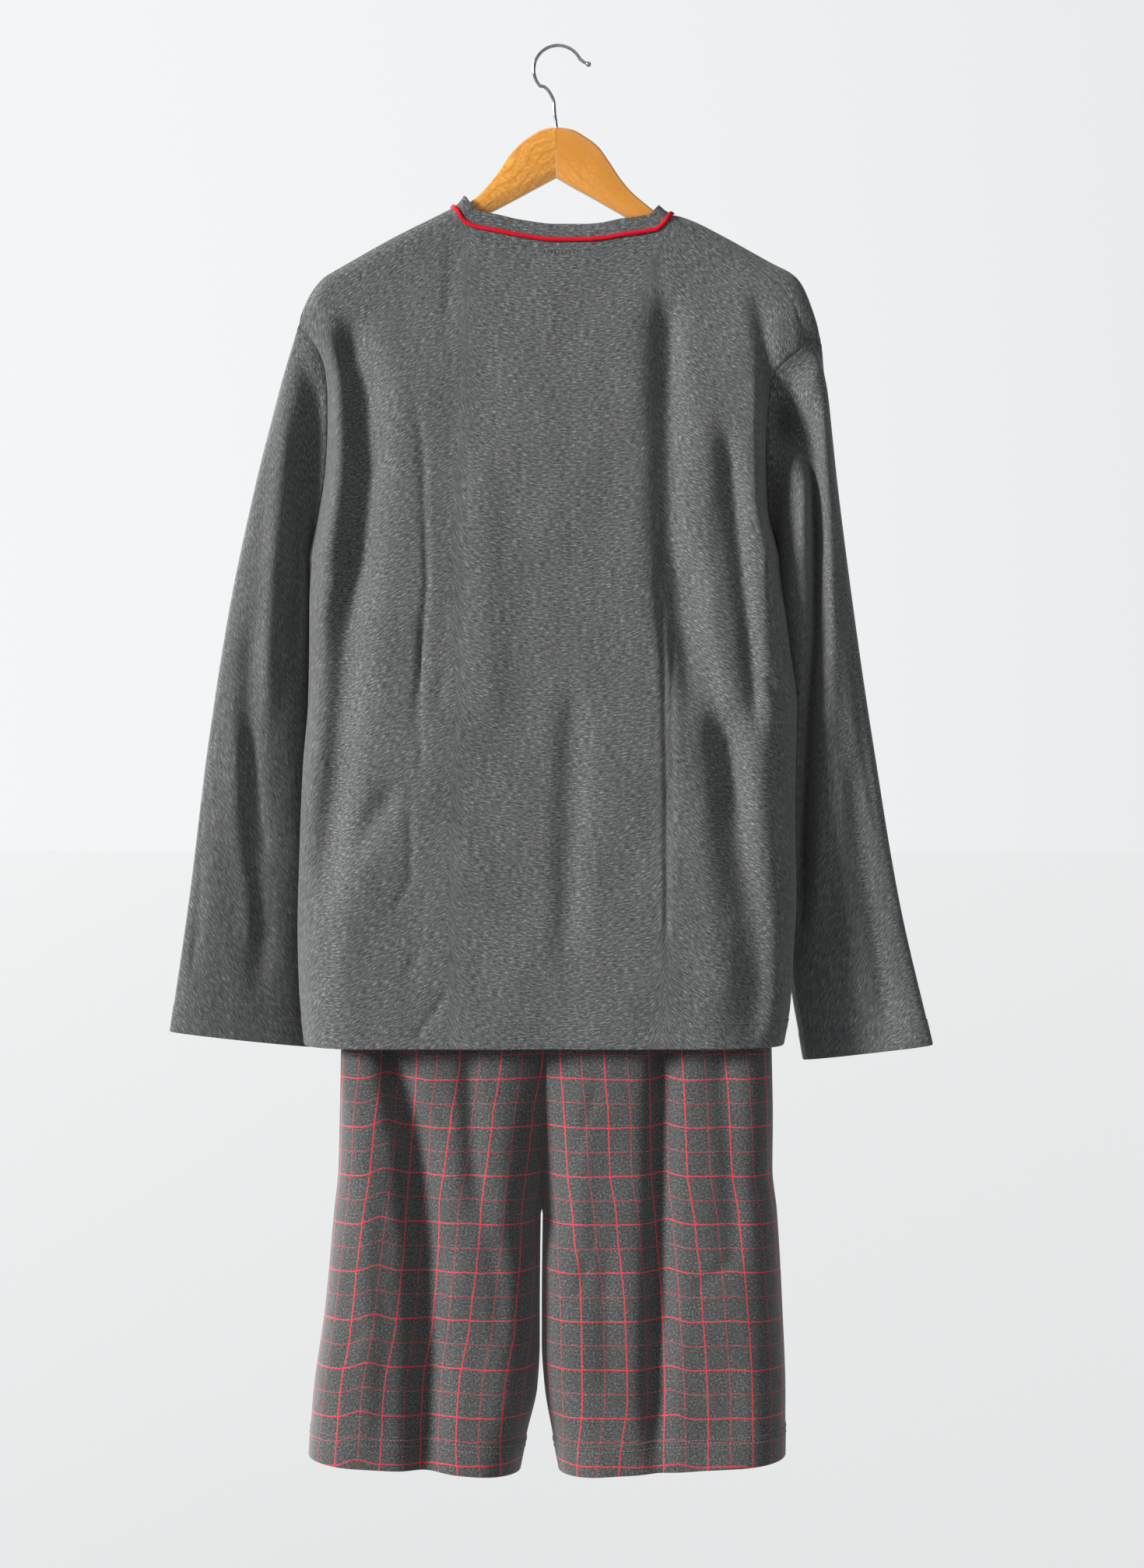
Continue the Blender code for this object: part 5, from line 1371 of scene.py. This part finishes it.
hangerPlan = {
    "depth": 0.013,
    "grainLeft": (28, 0.030, 0.15),        # the grain's turn in degrees, swirl, and share of deep wood where the rings bend; the right arm's high share is painted shade
    "grainRight": (-30, 0.016, 0.95),
    "topRound": 0.0030,
    "lowerEdge": 0.0075,       # height of the sloped band along the lower edge
    "lowerSlope": 0.0021,
    "lowerRound": ((0, 0.0012), (0.0004, 0.0003), (0.0012, 0)),      # inset and height
    "jointX": -0.0015,
    "jointGap": 0.00012,
    "stations": 90,
    "wireRadius": 0.0014,
    "wireSides": 20,
    "wireRows": 150,
    "hookRadius": 0.0209,
    "tipRadius": 0.0023,
    "shankDepth": 0.018,
    "arc": (222, 24),          # degrees
    "shank": ((-0.0030, -0.0565), (-0.0036, -0.0475), (-0.0058, -0.0415), (-0.0125, -0.0340)),
    "tip": ((0.0197, -0.0110), (0.0218, -0.0127), (0.0241, -0.0138)),
    "shownLeft": rowsOf(
        "x top bottom",
        (-1.5, -69.7, -112.3), (-12.2, -71.4, -118), (-23.8, -77.4, -124.3), (-34, -85.4, -129.8),
        (-42.7, -94.9, -134.4), (-51, -107.5, -138.8), (-60, -119.2, -143.6), (-70, -129.6, -149)),
    "shownRight": rowsOf(
        "x top bottom",
        (-1.5, -69.7, -112.3), (11, -71.4, -119.8), (22.6, -77.4, -126.1), (34.3, -86.2, -132.6),
        (44.4, -100, -138.4), (53.1, -113.2, -143.4), (61.9, -124, -148.8), (71, -132.2, -154)),
    "hiddenLeft": rowsOf(
        "x under height depth",
        (-85, 4.2, 18.5, 13), (-92.6, 3.8, 20, 13), (-115, 3.6, 20, 13), (-140, 3.6, 20, 13),
        (-165, 3.8, 20, 12.5), (-184, 4.2, 18, 11.5), (-196, 5.2, 14, 10), (-203, 7.5, 7, 7)),
    "hiddenRight": rowsOf(
        "x under height depth",
        (85, 4.6, 17.5, 12.2), (94, 4.2, 20, 12.6), (115, 4, 20, 12.8), (140, 3.6, 20, 13),
        (165, 3.8, 20, 12.5), (180, 4.2, 18, 11.5), (191, 5.2, 14, 10), (198, 7.5, 7, 7)),
}


def addArm(name, node, shown, hidden, material):
    plan = hangerPlan
    crest = topPlan["crest"]
    tops = follow(crest["x"], crest["z"], hidden["x"]) - hidden["under"]
    tableX = np.concatenate([shown["x"], hidden["x"]])
    away = np.sign(tableX[-1])
    x = np.linspace(tableX[0] + away * plan["jointGap"], tableX[-1], plan["stations"])
    columns = ((shown["top"], tops), (shown["bottom"], tops - hidden["height"]),
               (np.full(len(shown["x"]), plan["depth"]), hidden["depth"]))
    top, bottom, depth = (follow(tableX, np.concatenate(column), x) for column in columns)
    turns = np.radians(np.linspace(0, 90, 5))
    vertices = []
    for place in range(len(x)):
        half = depth[place] / 2
        low, high = bottom[place], top[place]
        edge = min(plan["topRound"], half * 0.7)
        lower = min(plan["lowerEdge"], (high - low) * 0.3)
        slope = min(plan["lowerSlope"], half * 0.4)
        side = [(half - edge * (1 - math.sin(turn)), high - edge * (1 - math.cos(turn))) for turn in turns]
        side += [(half, low + lower + 0.0006), (half - 0.0002, low + lower)]
        side += [(half - slope - inset, low + up) for inset, up in plan["lowerRound"]]
        ring = side + [(-y, z) for y, z in reversed(side)]
        vertices += [(x[place], -y, z) for y, z in ring]
    faces = tubeFaces(len(x), len(ring))
    if away < 0:
        faces = [tuple(reversed(face)) for face in faces]
    piece = addMesh(name, vertices, faces, material, sharpAngle=42)
    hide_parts(node)


def addHook():
    plan = hangerPlan
    woodTop = plan["shownLeft"]["top"][0]
    centreZ = plan["wireRadius"] - plan["hookRadius"]
    arc = np.radians(np.linspace(*plan["arc"], 60))
    around = [(plan["hookRadius"] * math.cos(a), centreZ + plan["hookRadius"] * math.sin(a)) for a in arc]
    foot = [(plan["jointX"], woodTop - plan["shankDepth"]), (plan["jointX"], woodTop)]
    coarse = np.array([*foot, *plan["shank"], *around, *plan["tip"]])
    length = lineLength(coarse)
    at = np.linspace(0, length[-1], plan["wireRows"])
    path = [(follow(length, coarse[:, 0], place), 0, follow(length, coarse[:, 1], place)) for place in at]
    radii = [plan["wireRadius"]] * len(path)
    ahead = unit(np.array(plan["tip"][-1]) - np.array(plan["tip"][-2]))
    for turn in np.radians(np.linspace(-45, 84, 10)):
        place = np.array(plan["tip"][-1]) + ahead * plan["tipRadius"] * (1 + math.sin(turn))
        path.append((place[0], 0, place[1]))
        radii.append(plan["tipRadius"] * math.cos(turn))
    path = np.array(path, float)
    radii = np.array(radii)[:, None]
    forward = unit(np.gradient(path, axis=0))
    first = unit(np.cross(forward, (0, 1, 0)))
    second = np.cross(forward, first)
    sides = plan["wireSides"]
    rings = [path + radii * (first * math.cos(turn) + second * math.sin(turn))
             for turn in np.linspace(0, 2 * math.pi, sides + 1)[:-1]]
    vertices = np.stack(rings, axis=1).reshape(-1, 3)
    faces = [(face[0], *reversed(face[1:])) for face in tubeFaces(len(path), sides)]
    piece = addMesh("hookWire", vertices, faces, makeChrome(), sharpAngle=50)
    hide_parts("hanger_hook")


def makeHanger():
    print("hanger")
    plan = hangerPlan
    for side in ("Left", "Right"):
        wood = makeWood("lacqueredWood" + side, *plan["grain" + side])
        tables = plan["shown" + side], plan["hidden" + side]
        addArm("arm" + side, "hanger_arm_" + side.lower(), *tables, wood)
    addHook()


def finishTacks():
    nylon = makeNylon()
    for name in ("tack_left", "tack_right"):
        tack = bpy.data.objects[name]
        tack.material_slots[0].material = nylon


setCameraAndLight()
backCloth, neckSeam, neckOut = makeTop()
makeNeck(neckSeam, neckOut, backCloth)
makeShorts()
makeHanger()
finishTacks()
